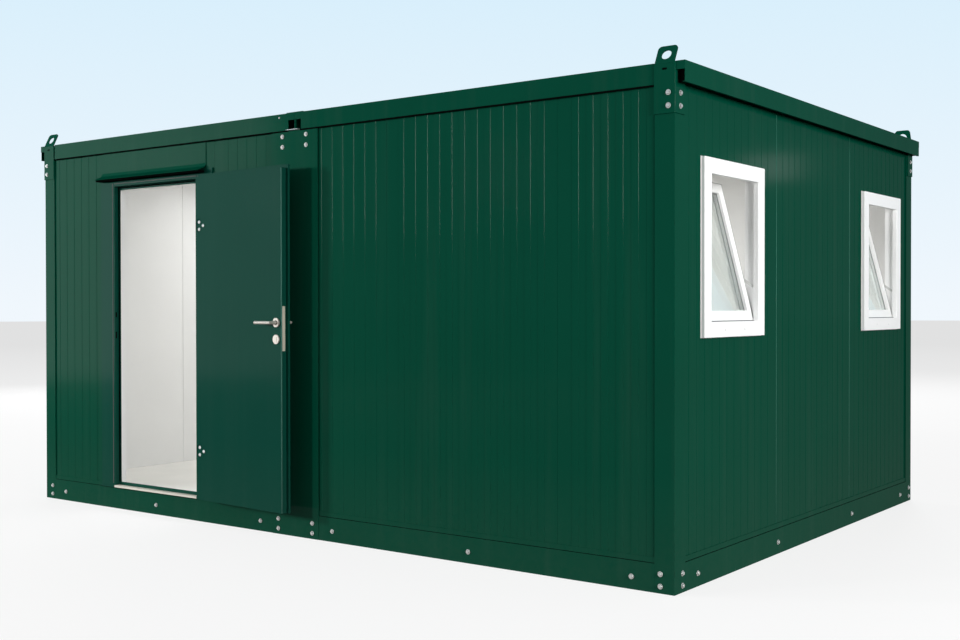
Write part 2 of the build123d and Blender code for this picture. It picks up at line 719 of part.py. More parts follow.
with BuildPart() as door_sill:
    with BuildSketch(Plane.YZ.offset(REVEAL_LEFT + FRAME_STOP + SEAT)):
        with BuildLine():
            Polyline(
                (FRAME_FRONT, BASE_HEIGHT + SEAT),
                (FRAME_FRONT, SILL_TOP),
                (STOP_FRONT, SILL_TOP),
                (STOP_FRONT, SILL_TOP + SILL_STOP),
                (STOP_BACK, SILL_TOP + SILL_STOP),
                (STOP_BACK, FLOOR_TOP),
                (FLANGE - HALF_DEPTH - SEAT, FLOOR_TOP),
                (FLANGE - HALF_DEPTH - SEAT, BASE_HEIGHT + SEAT),
                close=True,
            )
        make_face()
    extrude(amount=stop_span)
    upright(
        Plane.XY,
        BASE_HEIGHT + SEAT,
        SILL_TOP,
        (REVEAL_LEFT + SEAT, FRAME_FRONT - SEAT),
        (REVEAL_LEFT + SEAT, STOP_FRONT - SEAT),
        (REVEAL_RIGHT - SEAT, STOP_FRONT - SEAT),
        (REVEAL_RIGHT - SEAT, FRAME_FRONT - SEAT),
    )
    upright(
        Plane.XY,
        BASE_HEIGHT + SEAT,
        SILL_TOP,
        (REVEAL_LEFT - FRAME_FACE, FRAME_FRONT - SEAT),
        (REVEAL_LEFT - FRAME_FACE, FRAME_FRONT - SILL_NOSE),
        (REVEAL_RIGHT + FRAME_FACE, FRAME_FRONT - SILL_NOSE),
        (REVEAL_RIGHT + FRAME_FACE, FRAME_FRONT - SEAT),
    )
save(door_sill, "door_sill")

with BuildPart() as door_inner_trim:
    trim_near = STOP_BACK + SEAT
    for left, right in (
        (DOORWAY_LEFT + SEAT, REVEAL_LEFT + FRAME_STOP),
        (REVEAL_RIGHT - FRAME_STOP, DOORWAY_RIGHT - SEAT),
    ):
        upright(
            Plane.XY,
            FLOOR_TOP + SEAT,
            DOORWAY_TOP - SEAT,
            (left, trim_near),
            (right, trim_near),
            (right, ROOM_FACE),
            (left, ROOM_FACE),
        )
    upright(
        Plane.XY,
        REVEAL_TOP - HEAD_STOP,
        DOORWAY_TOP - SEAT,
        (REVEAL_LEFT + FRAME_STOP, trim_near),
        (REVEAL_RIGHT - FRAME_STOP, trim_near),
        (REVEAL_RIGHT - FRAME_STOP, ROOM_FACE),
        (REVEAL_LEFT + FRAME_STOP, ROOM_FACE),
    )
save(door_inner_trim, "door_inner_trim")

with BuildPart() as door_hood:
    hood_back = FLANGE_BACK - SEAT - HOOD
    hood_foot = ROOF_EDGE_FOOT - HOOD_DROP
    hood_left = REVEAL_LEFT - HOOD_PAST_LATCH
    with BuildSketch(Plane.YZ.offset(hood_left)):
        with BuildLine() as hood_line:
            FilletPolyline(
                (hood_back, PANEL_TOP),
                (hood_back, hood_foot + HOOD_FLARE),
                (-HALF_DEPTH - HOOD_REACH, hood_foot),
                radius=HOOD_BEND,
            )
            offset(amount=HOOD, side=Side.LEFT, kind=Kind.INTERSECTION)
        make_face()
    extrude(amount=REVEAL_RIGHT + HOOD_PAST_HINGE - hood_left)
save(door_hood, "door_hood")

# ---------------------------------------------------------------- door leaf
turn = radians(DOOR_OPEN)
LEAF_PLANE = Plane(
    origin=(HINGE_X, HINGE_Y, 0),
    x_dir=(-cos(turn), -sin(turn), 0),
    z_dir=(0, 0, 1),
)
OUTER_FACE = -HINGE_STANDOFF
INNER_FACE = OUTER_FACE - LEAF_THICK
LIP_BACK = OUTER_FACE - LEAF_LIP_THICK
BODY_NEAR = HINGE_EDGE + LEAF_LIP
BODY_FAR = BODY_NEAR + LEAF_WIDTH
LEVER_U = BODY_FAR - LEVER_BACKSET


def on_leaf(u, v, height, facing=1):
    """Plane on the leaf, its normal pointing out of the outer (1) or inner (-1) face."""
    normal = LEAF_PLANE.y_dir * facing
    origin = LEAF_PLANE.from_local_coords(Vector(u, v, height))
    return Plane(origin=origin, x_dir=LEAF_PLANE.x_dir * facing * -1, z_dir=normal)


with BuildPart() as door_leaf:
    upright(
        LEAF_PLANE,
        LEAF_FOOT,
        LEAF_TOP,
        (BODY_NEAR, INNER_FACE),
        (BODY_FAR, INNER_FACE),
        (BODY_FAR, LIP_BACK + 1),
        (BODY_NEAR, LIP_BACK + 1),
    )
    upright(
        LEAF_PLANE,
        LEAF_FOOT,
        LEAF_TOP + LEAF_LIP,
        (HINGE_EDGE, LIP_BACK),
        (BODY_FAR + LEAF_LIP, LIP_BACK),
        (BODY_FAR + LEAF_LIP, OUTER_FACE),
        (HINGE_EDGE, OUTER_FACE),
    )
    for height in HINGE_HEIGHTS:
        with BuildSketch(on_leaf(BODY_NEAR + DISH_INSET, INNER_FACE, height, -1)):
            Circle(DISH_RADIUS)
        extrude(amount=-DISH_DEPTH, mode=Mode.SUBTRACT)
    with BuildSketch(on_leaf(LEVER_U, OUTER_FACE, LEVER_HEIGHT)):
        Circle(SPINDLE_BORE)
    extrude(amount=-LEAF_THICK, mode=Mode.SUBTRACT)
    forend_middle = LEVER_HEIGHT + FOREND_ABOVE - FOREND_HEIGHT / 2
    with BuildSketch(LEAF_PLANE.offset(forend_middle - FOREND_HEIGHT / 2 - SEAT)):
        with Locations((BODY_FAR, (INNER_FACE + LIP_BACK) / 2)):
            Rectangle(2 * (FOREND + SEAT), FOREND_WIDTH + 2 * SEAT)
    extrude(amount=FOREND_HEIGHT + 2 * SEAT, mode=Mode.SUBTRACT)
save(door_leaf, "door_leaf")

with BuildPart() as door_lock:
    lock_middle = (INNER_FACE + LIP_BACK) / 2
    with BuildSketch(LEAF_PLANE.offset(forend_middle - FOREND_HEIGHT / 2)):
        with Locations((BODY_FAR - FOREND, lock_middle)):
            Rectangle(FOREND, FOREND_WIDTH, align=(Align.MIN, Align.CENTER))
    extrude(amount=FOREND_HEIGHT)
    for bolt_height, rise in ((LATCH_HEIGHT, LATCH_RISE), (BOLT_HEIGHT, -BOLT_DROP)):
        with BuildSketch(LEAF_PLANE.offset(LEVER_HEIGHT + rise)):
            with Locations((BODY_FAR, lock_middle)):
                Rectangle(BOLT_REACH, BOLT_WIDTH, align=(Align.MIN, Align.CENTER))
        extrude(amount=bolt_height)
save(door_lock, "door_lock")

with BuildPart() as door_roses:
    for face, facing in ((OUTER_FACE, 1), (INNER_FACE, -1)):
        with BuildSketch(on_leaf(LEVER_U, face, LEVER_HEIGHT, facing).offset(SEAT)):
            Circle(ROSE_RADIUS)
            Circle(LEVER_RADIUS + PIN_PLAY, mode=Mode.SUBTRACT)
        extrude(amount=ROSE)
        with BuildSketch(on_leaf(LEVER_U, face, LEVER_HEIGHT - CYLINDER_DROP, facing).offset(SEAT)):
            Circle(ROSE_RADIUS)
        extrude(amount=ROSE)
        with BuildSketch(on_leaf(LEVER_U, face, LEVER_HEIGHT - CYLINDER_DROP, facing).offset(SEAT)):
            with Locations((0, CYLINDER_BARREL / 4)):
                Circle(CYLINDER_BARREL / 2)
            with Locations((0, -CYLINDER_BARREL / 2)):
                Rectangle(CYLINDER_BARREL / 2, CYLINDER_BARREL)
        extrude(amount=ROSE + CYLINDER_PROUD)
save(door_roses, "door_roses")

with BuildPart() as door_levers:
    for face, facing in ((OUTER_FACE, 1), (INNER_FACE, -1)):
        base = on_leaf(LEVER_U, face, LEVER_HEIGHT, facing)
        path_plane = Plane(
            origin=base.origin, x_dir=LEAF_PLANE.x_dir * -1, z_dir=(0, 0, -facing)
        )
        with BuildLine(path_plane) as lever_line:
            Polyline((0, SEAT), (0, LEVER_REACH), (LEVER_LENGTH, LEVER_REACH))
        with BuildSketch(base.offset(SEAT)):
            Circle(LEVER_RADIUS)
        sweep(path=lever_line.wire(), transition=Transition.RIGHT)
    with BuildSketch(on_leaf(LEVER_U, OUTER_FACE, LEVER_HEIGHT).offset(1)):
        Circle(SPINDLE_RADIUS)
    extrude(amount=-LEAF_THICK - 2)
save(door_levers, "door_levers")

# ---------------------------------------------------------------- door hinges
with BuildPart() as frame_hinges:
    for height in HINGE_HEIGHTS:
        with BuildSketch(Plane.XY.offset(height - KNUCKLE_HEIGHT - SEAT)):
            with Locations((HINGE_X, HINGE_Y)):
                Circle(KNUCKLE_RADIUS)
            web_depth = FRAME_FRONT - SEAT - HINGE_Y
            with Locations((HINGE_X + WEB_INSET, HINGE_Y)):
                Rectangle(WEB, web_depth, align=(Align.MIN, Align.MIN))
            with Locations((HINGE_X + WEB_INSET, FRAME_FRONT - SEAT)):
                Rectangle(FRAME_WING, STEEL, align=(Align.MIN, Align.MAX))
        extrude(amount=KNUCKLE_HEIGHT)
        with BuildSketch(Plane.XY.offset(height - SEAT - 1)):
            with Locations((HINGE_X, HINGE_Y)):
                Circle(PIN_RADIUS)
        extrude(amount=KNUCKLE_HEIGHT + 1)
save(frame_hinges, "frame_hinges")

with BuildPart() as leaf_hinges:
    for height in HINGE_HEIGHTS:
        with BuildSketch(LEAF_PLANE.offset(height)):
            Circle(KNUCKLE_RADIUS)
            with Locations((0, OUTER_FACE + SEAT)):
                Rectangle(WING_LENGTH, STEEL, align=(Align.MIN, Align.MIN))
            Circle(PIN_RADIUS + PIN_PLAY, mode=Mode.SUBTRACT)
        extrude(amount=KNUCKLE_HEIGHT)
save(leaf_hinges, "leaf_hinges")

# ---------------------------------------------------------------- windows
FLANGE_X = WALL_FACE + RIB_HEIGHT + SEAT
FRAME_X = WALL_FACE + WINDOW_PROUD
REBATE_X = WALL_FACE - REBATE_DEPTH
LIGHT_WIDTH = WINDOW_WIDTH - 2 * WINDOW_FACE
LIGHT_HEIGHT = WINDOW_HEIGHT - 2 * WINDOW_FACE
SASH_WIDTH = LIGHT_WIDTH + 2 * WINDOW_REBATE - 2 * SASH_GAP
SASH_HEIGHT = LIGHT_HEIGHT + 2 * WINDOW_REBATE - 2 * SASH_GAP
tilt = radians(SASH_TILT)
PIVOT_X = REBATE_X - SASH_GAP - SASH_THICK
PIVOT_Z = WINDOW_MIDDLE - SASH_HEIGHT / 2 + SASH_PIVOT
SASH_PLANE = Plane(
    origin=(PIVOT_X, 0, PIVOT_Z),
    x_dir=(0, 1, 0),
    z_dir=(cos(tilt), 0, sin(tilt)),
)

FRAME_INSIDE = LINE_X - LINING
SASH_MIDDLE = SASH_HEIGHT / 2 - SASH_PIVOT
GLASS_WIDTH = SASH_WIDTH - 2 * SASH_FACE
GLASS_HEIGHT = SASH_HEIGHT - 2 * SASH_FACE

with BuildPart() as window_frames:
    with BuildSketch(Plane.YZ.offset(FLANGE_X)):
        with Locations(*[(window_y, WINDOW_MIDDLE) for window_y in WINDOW_PLACES]):
            Rectangle(WINDOW_WIDTH, WINDOW_HEIGHT)
            Rectangle(LIGHT_WIDTH, LIGHT_HEIGHT, mode=Mode.SUBTRACT)
    extrude(amount=FRAME_X - FLANGE_X)
    for window_y in WINDOW_PLACES:
        rim = edges().filter_by_position(Axis.X, FRAME_X - 1, FRAME_X)
        rim = rim.filter_by_position(Axis.Y, window_y - WINDOW_WIDTH / 2, window_y + WINDOW_WIDTH / 2)
        fillet(rim.sort_by(SortBy.LENGTH)[-4:], WINDOW_ROUND)
    with BuildSketch(Plane.YZ.offset(REBATE_X)):
        with Locations(*[(window_y, WINDOW_MIDDLE) for window_y in WINDOW_PLACES]):
            Rectangle(OPENING_WIDTH - 2 * SEAT, OPENING_HEIGHT - 2 * SEAT)
            Rectangle(LIGHT_WIDTH, LIGHT_HEIGHT, mode=Mode.SUBTRACT)
    extrude(amount=FLANGE_X - REBATE_X)
    with BuildSketch(Plane.YZ.offset(FRAME_INSIDE)):
        with Locations(*[(window_y, WINDOW_MIDDLE) for window_y in WINDOW_PLACES]):
            Rectangle(OPENING_WIDTH - 2 * SEAT, OPENING_HEIGHT - 2 * SEAT)
            Rectangle(
                LIGHT_WIDTH + 2 * WINDOW_REBATE,
                LIGHT_HEIGHT + 2 * WINDOW_REBATE,
                mode=Mode.SUBTRACT,
            )
    extrude(amount=REBATE_X - FRAME_INSIDE)
save(window_frames, "window_frames")

with BuildPart() as window_sashes:
    with BuildSketch(SASH_PLANE):
        with Locations(*[(window_y, SASH_MIDDLE) for window_y in WINDOW_PLACES]):
            Rectangle(SASH_WIDTH, SASH_HEIGHT)
            Rectangle(GLASS_WIDTH, GLASS_HEIGHT, mode=Mode.SUBTRACT)
    extrude(amount=SASH_THICK)
    with BuildSketch(SASH_PLANE.offset((SASH_THICK - GLASS) / 2 - SEAT)):
        with Locations(*[(window_y, SASH_MIDDLE) for window_y in WINDOW_PLACES]):
            Rectangle(GLASS_WIDTH + 2 * GLASS_EDGE, GLASS_HEIGHT + 2 * GLASS_EDGE)
    extrude(amount=GLASS + 2 * SEAT, mode=Mode.SUBTRACT)
save(window_sashes, "window_sashes")

with BuildPart() as window_glass:
    with BuildSketch(SASH_PLANE.offset((SASH_THICK - GLASS) / 2)):
        with Locations(*[(window_y, SASH_MIDDLE) for window_y in WINDOW_PLACES]):
            Rectangle(
                GLASS_WIDTH + 2 * GLASS_EDGE - 2 * SEAT,
                GLASS_HEIGHT + 2 * GLASS_EDGE - 2 * SEAT,
            )
    extrude(amount=GLASS)
save(window_glass, "window_glass")

with BuildPart() as window_stays:
    stay = SASH_GAP - 2 * SEAT
    held = SASH_PLANE.from_local_coords(Vector(0, STAY_UP, SASH_THICK / 2))
    pinned = Vector(REBATE_X - STAY_WIDTH, 0, PIVOT_Z + STAY_RISE)
    middle = (held + pinned) / 2
    for window_y in WINDOW_PLACES:
        for edge in (-1, 1):
            stay_y = window_y + edge * (SASH_WIDTH / 2 + SASH_GAP / 2) - stay / 2
            with BuildSketch(Plane.XZ.offset(-stay_y)):
                SlotCenterPoint((middle.X, middle.Z), (pinned.X, pinned.Z), STAY_WIDTH)
            extrude(amount=-stay)
save(window_stays, "window_stays")

with BuildPart() as sash_hinges:
    sash_toe = SASH_PLANE.from_local_coords(Vector(0, -SASH_PIVOT, 0))
    barrel_x = FRAME_INSIDE - SEAT - BARREL_RADIUS
    drop = ((BARREL_RADIUS + SEAT) ** 2 - (sash_toe.X - barrel_x) ** 2) ** 0.5
    for window_y in WINDOW_PLACES:
        for edge in (-1, 1):
            barrel_y = window_y + edge * (SASH_WIDTH / 2 - BARREL_INSET) + BARREL_LENGTH / 2
            with BuildSketch(Plane.XZ.offset(-barrel_y)):
                with Locations((barrel_x, sash_toe.Z - drop)):
                    Circle(BARREL_RADIUS)
            extrude(amount=BARREL_LENGTH)
save(sash_hinges, "sash_hinges")
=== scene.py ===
import math
import mathutils
import bmesh
import bpy
import numpy as np
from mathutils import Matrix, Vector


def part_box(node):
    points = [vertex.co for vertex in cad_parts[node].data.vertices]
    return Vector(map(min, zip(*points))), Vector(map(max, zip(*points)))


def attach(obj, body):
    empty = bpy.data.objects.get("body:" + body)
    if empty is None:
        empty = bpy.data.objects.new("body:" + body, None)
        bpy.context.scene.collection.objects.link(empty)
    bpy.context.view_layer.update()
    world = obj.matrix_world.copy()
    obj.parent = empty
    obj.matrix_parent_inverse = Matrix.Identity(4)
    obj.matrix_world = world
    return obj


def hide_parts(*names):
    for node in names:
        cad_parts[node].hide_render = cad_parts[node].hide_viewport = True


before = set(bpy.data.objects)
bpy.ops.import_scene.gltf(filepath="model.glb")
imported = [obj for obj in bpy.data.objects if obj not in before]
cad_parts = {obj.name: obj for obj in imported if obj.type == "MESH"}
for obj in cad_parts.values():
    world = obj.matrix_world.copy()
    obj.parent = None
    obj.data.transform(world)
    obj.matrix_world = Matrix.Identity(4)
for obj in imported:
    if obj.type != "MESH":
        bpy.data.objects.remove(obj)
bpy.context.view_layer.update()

# ------------------------------------------------------------------ steel frame, painted green
# The base rails, posts, roof rails, roof edges and corner brackets are folded and rolled steel,
# sprayed with a moss green paint that dries to a slight orange peel. Rain leaves faint runs on it
# and the ground throws a little dust on its lowest part.
PAINT_GREEN = (0.0004, 0.054, 0.030, 1)
RAIN_FILM = (0.09, 0.13, 0.11, 1)
GROUND_DUST = (0.22, 0.20, 0.16, 1)
DUST_TOP = 0.55  # height at which the last of the dust ends
COAT_ROUGHNESS = 0.11


def new_group(name, inputs, outputs):
    """Empty shader node group with named sockets: (name, kind, default) in, (name, kind) out."""
    group = bpy.data.node_groups.new(name, "ShaderNodeTree")
    for label, kind, value in inputs:
        socket = group.interface.new_socket(name=label, in_out="INPUT", socket_type=kind)
        socket.default_value = value
    for label, kind in outputs:
        group.interface.new_socket(name=label, in_out="OUTPUT", socket_type=kind)
    return group, group.nodes.new("NodeGroupInput"), group.nodes.new("NodeGroupOutput")


def lay(tree, kind, values=(), **fields):
    """Put a node in the tree, set its fields, then its unlinked inputs by name or by number."""
    node = tree.nodes.new(kind)
    for field, value in fields.items():
        setattr(node, field, value)
    for socket, value in dict(values).items():
        node.inputs[socket].default_value = value
    return node


def math_node(tree, operation, *values):
    """Arithmetic on sockets or numbers; gives back the result's socket."""
    node = lay(tree, "ShaderNodeMath", operation=operation)
    for number, value in enumerate(values):
        if isinstance(value, (int, float)):
            node.inputs[number].default_value = value
        else:
            tree.links.new(value, node.inputs[number])
    return node.outputs[0]


def new_material(name):
    """Material with nodes; gives back the material, its tree and its Principled shader."""
    material = bpy.data.materials.new(name)
    material.use_nodes = True
    return material, material.node_tree, material.node_tree.nodes["Principled BSDF"]


def feed(tree, coat, shader):
    """Lead a group's colour and roughness, and its normal where it makes one, into the shader."""
    for made, wanted in (("Color", "Base Color"), ("Roughness", "Roughness"), ("Normal", "Normal")):
        if made in coat.outputs:
            tree.links.new(coat.outputs[made], shader.inputs[wanted])


def weathered_sheet_group():
    """Paint on outdoor steel: mottled colour, runs of rain, dust low down, orange peel."""
    group, given, made = new_group(
        "weathered_sheet",
        (("Paint", "NodeSocketColor", PAINT_GREEN), ("Mottle", "NodeSocketFloat", 0.25),
         ("Runs", "NodeSocketFloat", 0.06), ("Dust", "NodeSocketFloat", 0.05),
         ("Peel", "NodeSocketFloat", 0.05), ("Gloss", "NodeSocketFloat", 0.34),
         ("Peel Size", "NodeSocketFloat", 90.0)),
        (("Color", "NodeSocketColor"), ("Roughness", "NodeSocketFloat"),
         ("Normal", "NodeSocketVector")))
    links = group.links
    place = lay(group, "ShaderNodeTexCoord").outputs["Object"]
    cloud = lay(group, "ShaderNodeTexNoise", {"Scale": 1.7, "Detail": 5.0, "Roughness": 0.55})
    links.new(place, cloud.inputs["Vector"])
    stretch = lay(group, "ShaderNodeMapping", {"Scale": (9.0, 9.0, 0.35)})
    links.new(place, stretch.inputs["Vector"])
    runs = lay(group, "ShaderNodeTexNoise", {"Scale": 1.0, "Detail": 4.0, "Roughness": 0.6})
    links.new(stretch.outputs[0], runs.inputs["Vector"])
    split = lay(group, "ShaderNodeSeparateXYZ")
    links.new(place, split.inputs[0])
    low = lay(group, "ShaderNodeMapRange", {"From Min": DUST_TOP, "From Max": 0.0}, clamp=True)
    links.new(split.outputs["Z"], low.inputs["Value"])
    speck = lay(group, "ShaderNodeTexNoise", {"Scale": 28.0, "Detail": 4.0, "Roughness": 0.7})
    links.new(place, speck.inputs["Vector"])
    tone = math_node(group, "MULTIPLY_ADD", cloud.outputs["Fac"], given.outputs["Mottle"], 1.0)
    lift = math_node(group, "MULTIPLY", given.outputs["Mottle"], 0.5)
    tone = math_node(group, "SUBTRACT", tone, lift)
    shade = lay(group, "ShaderNodeVectorMath", operation="SCALE")
    links.new(given.outputs["Paint"], shade.inputs[0])
    links.new(tone, shade.inputs["Scale"])
    film = lay(group, "ShaderNodeMapRange", {"From Min": 0.52, "From Max": 0.75}, clamp=True)
    links.new(runs.outputs["Fac"], film.inputs["Value"])
    film_amount = math_node(group, "MULTIPLY", film.outputs[0], given.outputs["Runs"])
    washed = lay(group, "ShaderNodeMix", {"B": RAIN_FILM}, data_type="RGBA")
    links.new(film_amount, washed.inputs["Factor"])
    links.new(shade.outputs[0], washed.inputs["A"])
    dust_amount = math_node(group, "MULTIPLY", low.outputs[0], given.outputs["Dust"])
    dust_amount = math_node(group, "MULTIPLY", dust_amount, speck.outputs["Fac"])
    dusty = lay(group, "ShaderNodeMix", {"B": GROUND_DUST}, data_type="RGBA")
    links.new(dust_amount, dusty.inputs["Factor"])
    links.new(washed.outputs["Result"], dusty.inputs["A"])
    links.new(dusty.outputs["Result"], made.inputs["Color"])
    rough = math_node(group, "MULTIPLY", cloud.outputs["Fac"], 0.10)
    rough = math_node(group, "ADD", rough, given.outputs["Gloss"])
    rough = math_node(group, "ADD", rough, dust_amount)
    links.new(rough, made.inputs["Roughness"])
    peel = lay(group, "ShaderNodeTexNoise", {"Detail": 2.0})
    links.new(place, peel.inputs["Vector"])
    links.new(given.outputs["Peel Size"], peel.inputs["Scale"])
    bump = lay(group, "ShaderNodeBump", {"Distance": 0.002})
    links.new(given.outputs["Peel"], bump.inputs["Strength"])
    links.new(peel.outputs["Fac"], bump.inputs["Height"])
    links.new(bump.outputs[0], made.inputs["Normal"])
    return group


WEATHERED = weathered_sheet_group()


def paint(name, colour, mottle=0.2, runs=0.06, dust=0.05, peel=0.05, gloss=0.34, size=90.0,
          shine=0.07):
    """Green coated steel: the weathered sheet's colour, gloss and peel on one Principled shader."""
    material, tree, shader = new_material(name)
    shader.inputs["Specular IOR Level"].default_value = 0.0
    shader.inputs["Coat Weight"].default_value = shine
    shader.inputs["Coat Roughness"].default_value = COAT_ROUGHNESS
    coat = lay(tree, "ShaderNodeGroup", node_tree=WEATHERED)
    for label, value in (("Paint", colour), ("Mottle", mottle), ("Runs", runs), ("Dust", dust),
                         ("Peel", peel), ("Gloss", gloss), ("Peel Size", size)):
        coat.inputs[label].default_value = value
    feed(tree, coat, shader)
    return material


def finish_nodes(material, *nodes):
    """Put a finish into the material slots of carried-over nodes."""
    for node in nodes:
        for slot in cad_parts[node].material_slots:
            slot.material = material


frame_paint = paint("frame_paint", PAINT_GREEN, gloss=0.40)
finish_nodes(frame_paint, "base_rails", "base_middle_rail", "corner_posts", "middle_posts",
             "joint_covers", "roof_edges", "roof_rails", "roof_joint_cap", "lifting_brackets",
             "base_trims", "door_hood")

# ------------------------------------------------------------------ frame bolts
# The base, posts and corner brackets are held with zinc-plated hexagon screws, each on a plain
# washer. They sit in pairs on the posts and singly along the base rails.


def grid_mesh(name, parts):
    """Mesh from grids of points, shape (part, row, column, 3).

    Faces join each point to the next row and the next column. Columns close round to the first
    one. Rows that shrink to a point, or repeat the first row, are merged, which closes the ends.
    """
    grids = np.concatenate([np.asarray(part).reshape(-1, *np.shape(part)[-3:]) for part in parts])
    count, rows, columns, _ = grids.shape
    index = np.arange(count * rows * columns).reshape(count, rows, columns)
    beside = np.roll(index, -1, axis=2)
    quads = np.stack([index[:, :-1], beside[:, :-1], beside[:, 1:], index[:, 1:]], -1)
    mesh = bpy.data.meshes.new(name)
    mesh.from_pydata(grids.reshape(-1, 3).tolist(), [], quads.reshape(-1, 4).tolist())
    cleaned = bmesh.new()
    cleaned.from_mesh(mesh)
    bmesh.ops.remove_doubles(cleaned, verts=cleaned.verts, dist=1e-6)
    bmesh.ops.recalc_face_normals(cleaned, faces=cleaned.faces)
    cleaned.to_mesh(mesh)
    cleaned.free()
    return mesh


def skin(name, parts, material, body, smooth=False):
    """Piece made from grids of points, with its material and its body."""
    mesh = grid_mesh(name, parts)
    if smooth:
        mesh.shade_smooth()
    mesh.materials.append(material)
    piece = bpy.data.objects.new(name, mesh)
    bpy.context.scene.collection.objects.link(piece)
    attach(piece, body)
    return piece


def turned(profile, sides, places, facing, across):
    """Turned pieces: point = place + h facing + r (cos a across + sin a up), a going round.

    The profile lists (r, h) and starts and ends on the axis.
    """
    facing, across = np.array(facing, float), np.array(across, float)
    angle = np.linspace(0, 2 * np.pi, sides, endpoint=False)
    ring = np.outer(np.cos(angle), across) + np.outer(np.sin(angle), np.cross(facing, across))
    radius, height = np.array(profile, float).T
    shape = radius[:, None, None] * ring + height[:, None, None] * facing
    return np.array(places, float)[:, None, None, :] + shape


WASHER = ((0, 0), (0.0128, 0), (0.0132, 0.0006), (0.0132, 0.0020), (0.0126, 0.0026), (0, 0.0026))
SCREW_HEAD = ((0, 0.0024), (0.0094, 0.0024), (0.0094, 0.0076), (0.0082, 0.0090), (0, 0.0092))
POST_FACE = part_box("corner_posts")[1][1]
SIDE_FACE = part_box("corner_posts")[1][0]
COVER_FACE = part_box("joint_covers")[1][1]
BRACKET_PLATE = 0.006
BRACKET_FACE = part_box("base_rails")[1][1] + BRACKET_PLATE
BRACKET_SIDE_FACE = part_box("lifting_brackets")[1][0]
RAIL_SCREW_HEIGHT = 0.060
SIDE_RAIL_SCREW_HEIGHT = 0.063
FOOT_SCREW_HEIGHTS = (0.033, 0.090)
BRACKET_SCREW_HEIGHTS = (2.240, 2.300)
COVER_SCREW_HEIGHTS = (2.247, 2.307)
RAIL_SCREWS_X = (0.29, 1.25, 2.21)
POST_SCREW_X, COVER_FOOT_SCREW_X = 2.362, 0.137
BRACKET_SCREW_X, COVER_TOP_SCREW_X = 2.405, 0.095
SIDE_RAIL_SCREWS_Y = (-1.487, -0.543, 0.573, 1.487)
SIDE_POST_SCREWS_Y = (-1.643, 1.673)
SIDE_BRACKET_SCREWS_Y = (-1.677, 1.677)

half_front = [(x, -POST_FACE, RAIL_SCREW_HEIGHT) for x in RAIL_SCREWS_X]
half_front += [(POST_SCREW_X, -POST_FACE, z) for z in FOOT_SCREW_HEIGHTS]
half_front += [(COVER_FOOT_SCREW_X, -COVER_FACE, z) for z in FOOT_SCREW_HEIGHTS]
half_front += [(BRACKET_SCREW_X, -BRACKET_FACE, z) for z in BRACKET_SCREW_HEIGHTS]
half_front += [(COVER_TOP_SCREW_X, -COVER_FACE, z) for z in COVER_SCREW_HEIGHTS]
front_places = np.concatenate([half_front, np.array(half_front) * (-1, 1, 1)])
back_places = front_places * (1, -1, 1)
side_places = [(SIDE_FACE, y, SIDE_RAIL_SCREW_HEIGHT) for y in SIDE_RAIL_SCREWS_Y]
side_places += [(SIDE_FACE, y, z) for y in SIDE_POST_SCREWS_Y for z in FOOT_SCREW_HEIGHTS]
side_places += [(BRACKET_SIDE_FACE, y, z) for y in SIDE_BRACKET_SCREWS_Y
                for z in BRACKET_SCREW_HEIGHTS]
left_places = np.array(side_places) * (-1, 1, 1)


def soft_group():
    """Smooth moulded or coated surface: faint clouding of tone and roughness, fine bump."""
    group, given, made = new_group(
        "soft_surface",
        (("Tint", "NodeSocketColor", (0.8, 0.8, 0.8, 1)), ("Cloud", "NodeSocketFloat", 0.06),
         ("Rough", "NodeSocketFloat", 0.4), ("Grain", "NodeSocketFloat", 0.05),
         ("Grain Size", "NodeSocketFloat", 120.0)),
        (("Color", "NodeSocketColor"), ("Roughness", "NodeSocketFloat"),
         ("Normal", "NodeSocketVector")))
    links = group.links
    place = lay(group, "ShaderNodeTexCoord").outputs["Object"]
    cloud = lay(group, "ShaderNodeTexNoise", {"Scale": 2.5, "Detail": 4.0})
    links.new(place, cloud.inputs["Vector"])
    tone = math_node(group, "SUBTRACT", cloud.outputs["Fac"], 0.5)
    tone = math_node(group, "MULTIPLY", tone, given.outputs["Cloud"])
    tone = math_node(group, "ADD", tone, 1.0)
    shade = lay(group, "ShaderNodeVectorMath", operation="SCALE")
    links.new(given.outputs["Tint"], shade.inputs[0])
    links.new(tone, shade.inputs["Scale"])
    links.new(shade.outputs[0], made.inputs["Color"])
    rough = math_node(group, "MULTIPLY", cloud.outputs["Fac"], 0.08)
    rough = math_node(group, "ADD", rough, given.outputs["Rough"])
    links.new(rough, made.inputs["Roughness"])
    grain = lay(group, "ShaderNodeTexNoise", {"Detail": 2.0})
    links.new(place, grain.inputs["Vector"])
    links.new(given.outputs["Grain Size"], grain.inputs["Scale"])
    bump = lay(group, "ShaderNodeBump", {"Distance": 0.001})
    links.new(given.outputs["Grain"], bump.inputs["Strength"])
    links.new(grain.outputs["Fac"], bump.inputs["Height"])
    links.new(bump.outputs[0], made.inputs["Normal"])
    return group


SOFT = soft_group()


def soft(name, tint, rough, cloud=0.06, grain=0.05, grain_size=120.0, metallic=0.0, level=0.5):
    """Plain-looking surface whose tone, roughness and grain still vary over it."""
    material, tree, shader = new_material(name)
    shader.inputs["Metallic"].default_value = metallic
    shader.inputs["Specular IOR Level"].default_value = level
    coat = lay(tree, "ShaderNodeGroup", node_tree=SOFT)
    for label, value in (("Tint", tint), ("Cloud", cloud), ("Rough", rough), ("Grain", grain),
                         ("Grain Size", grain_size)):
        coat.inputs[label].default_value = value
    feed(tree, coat, shader)
    return material


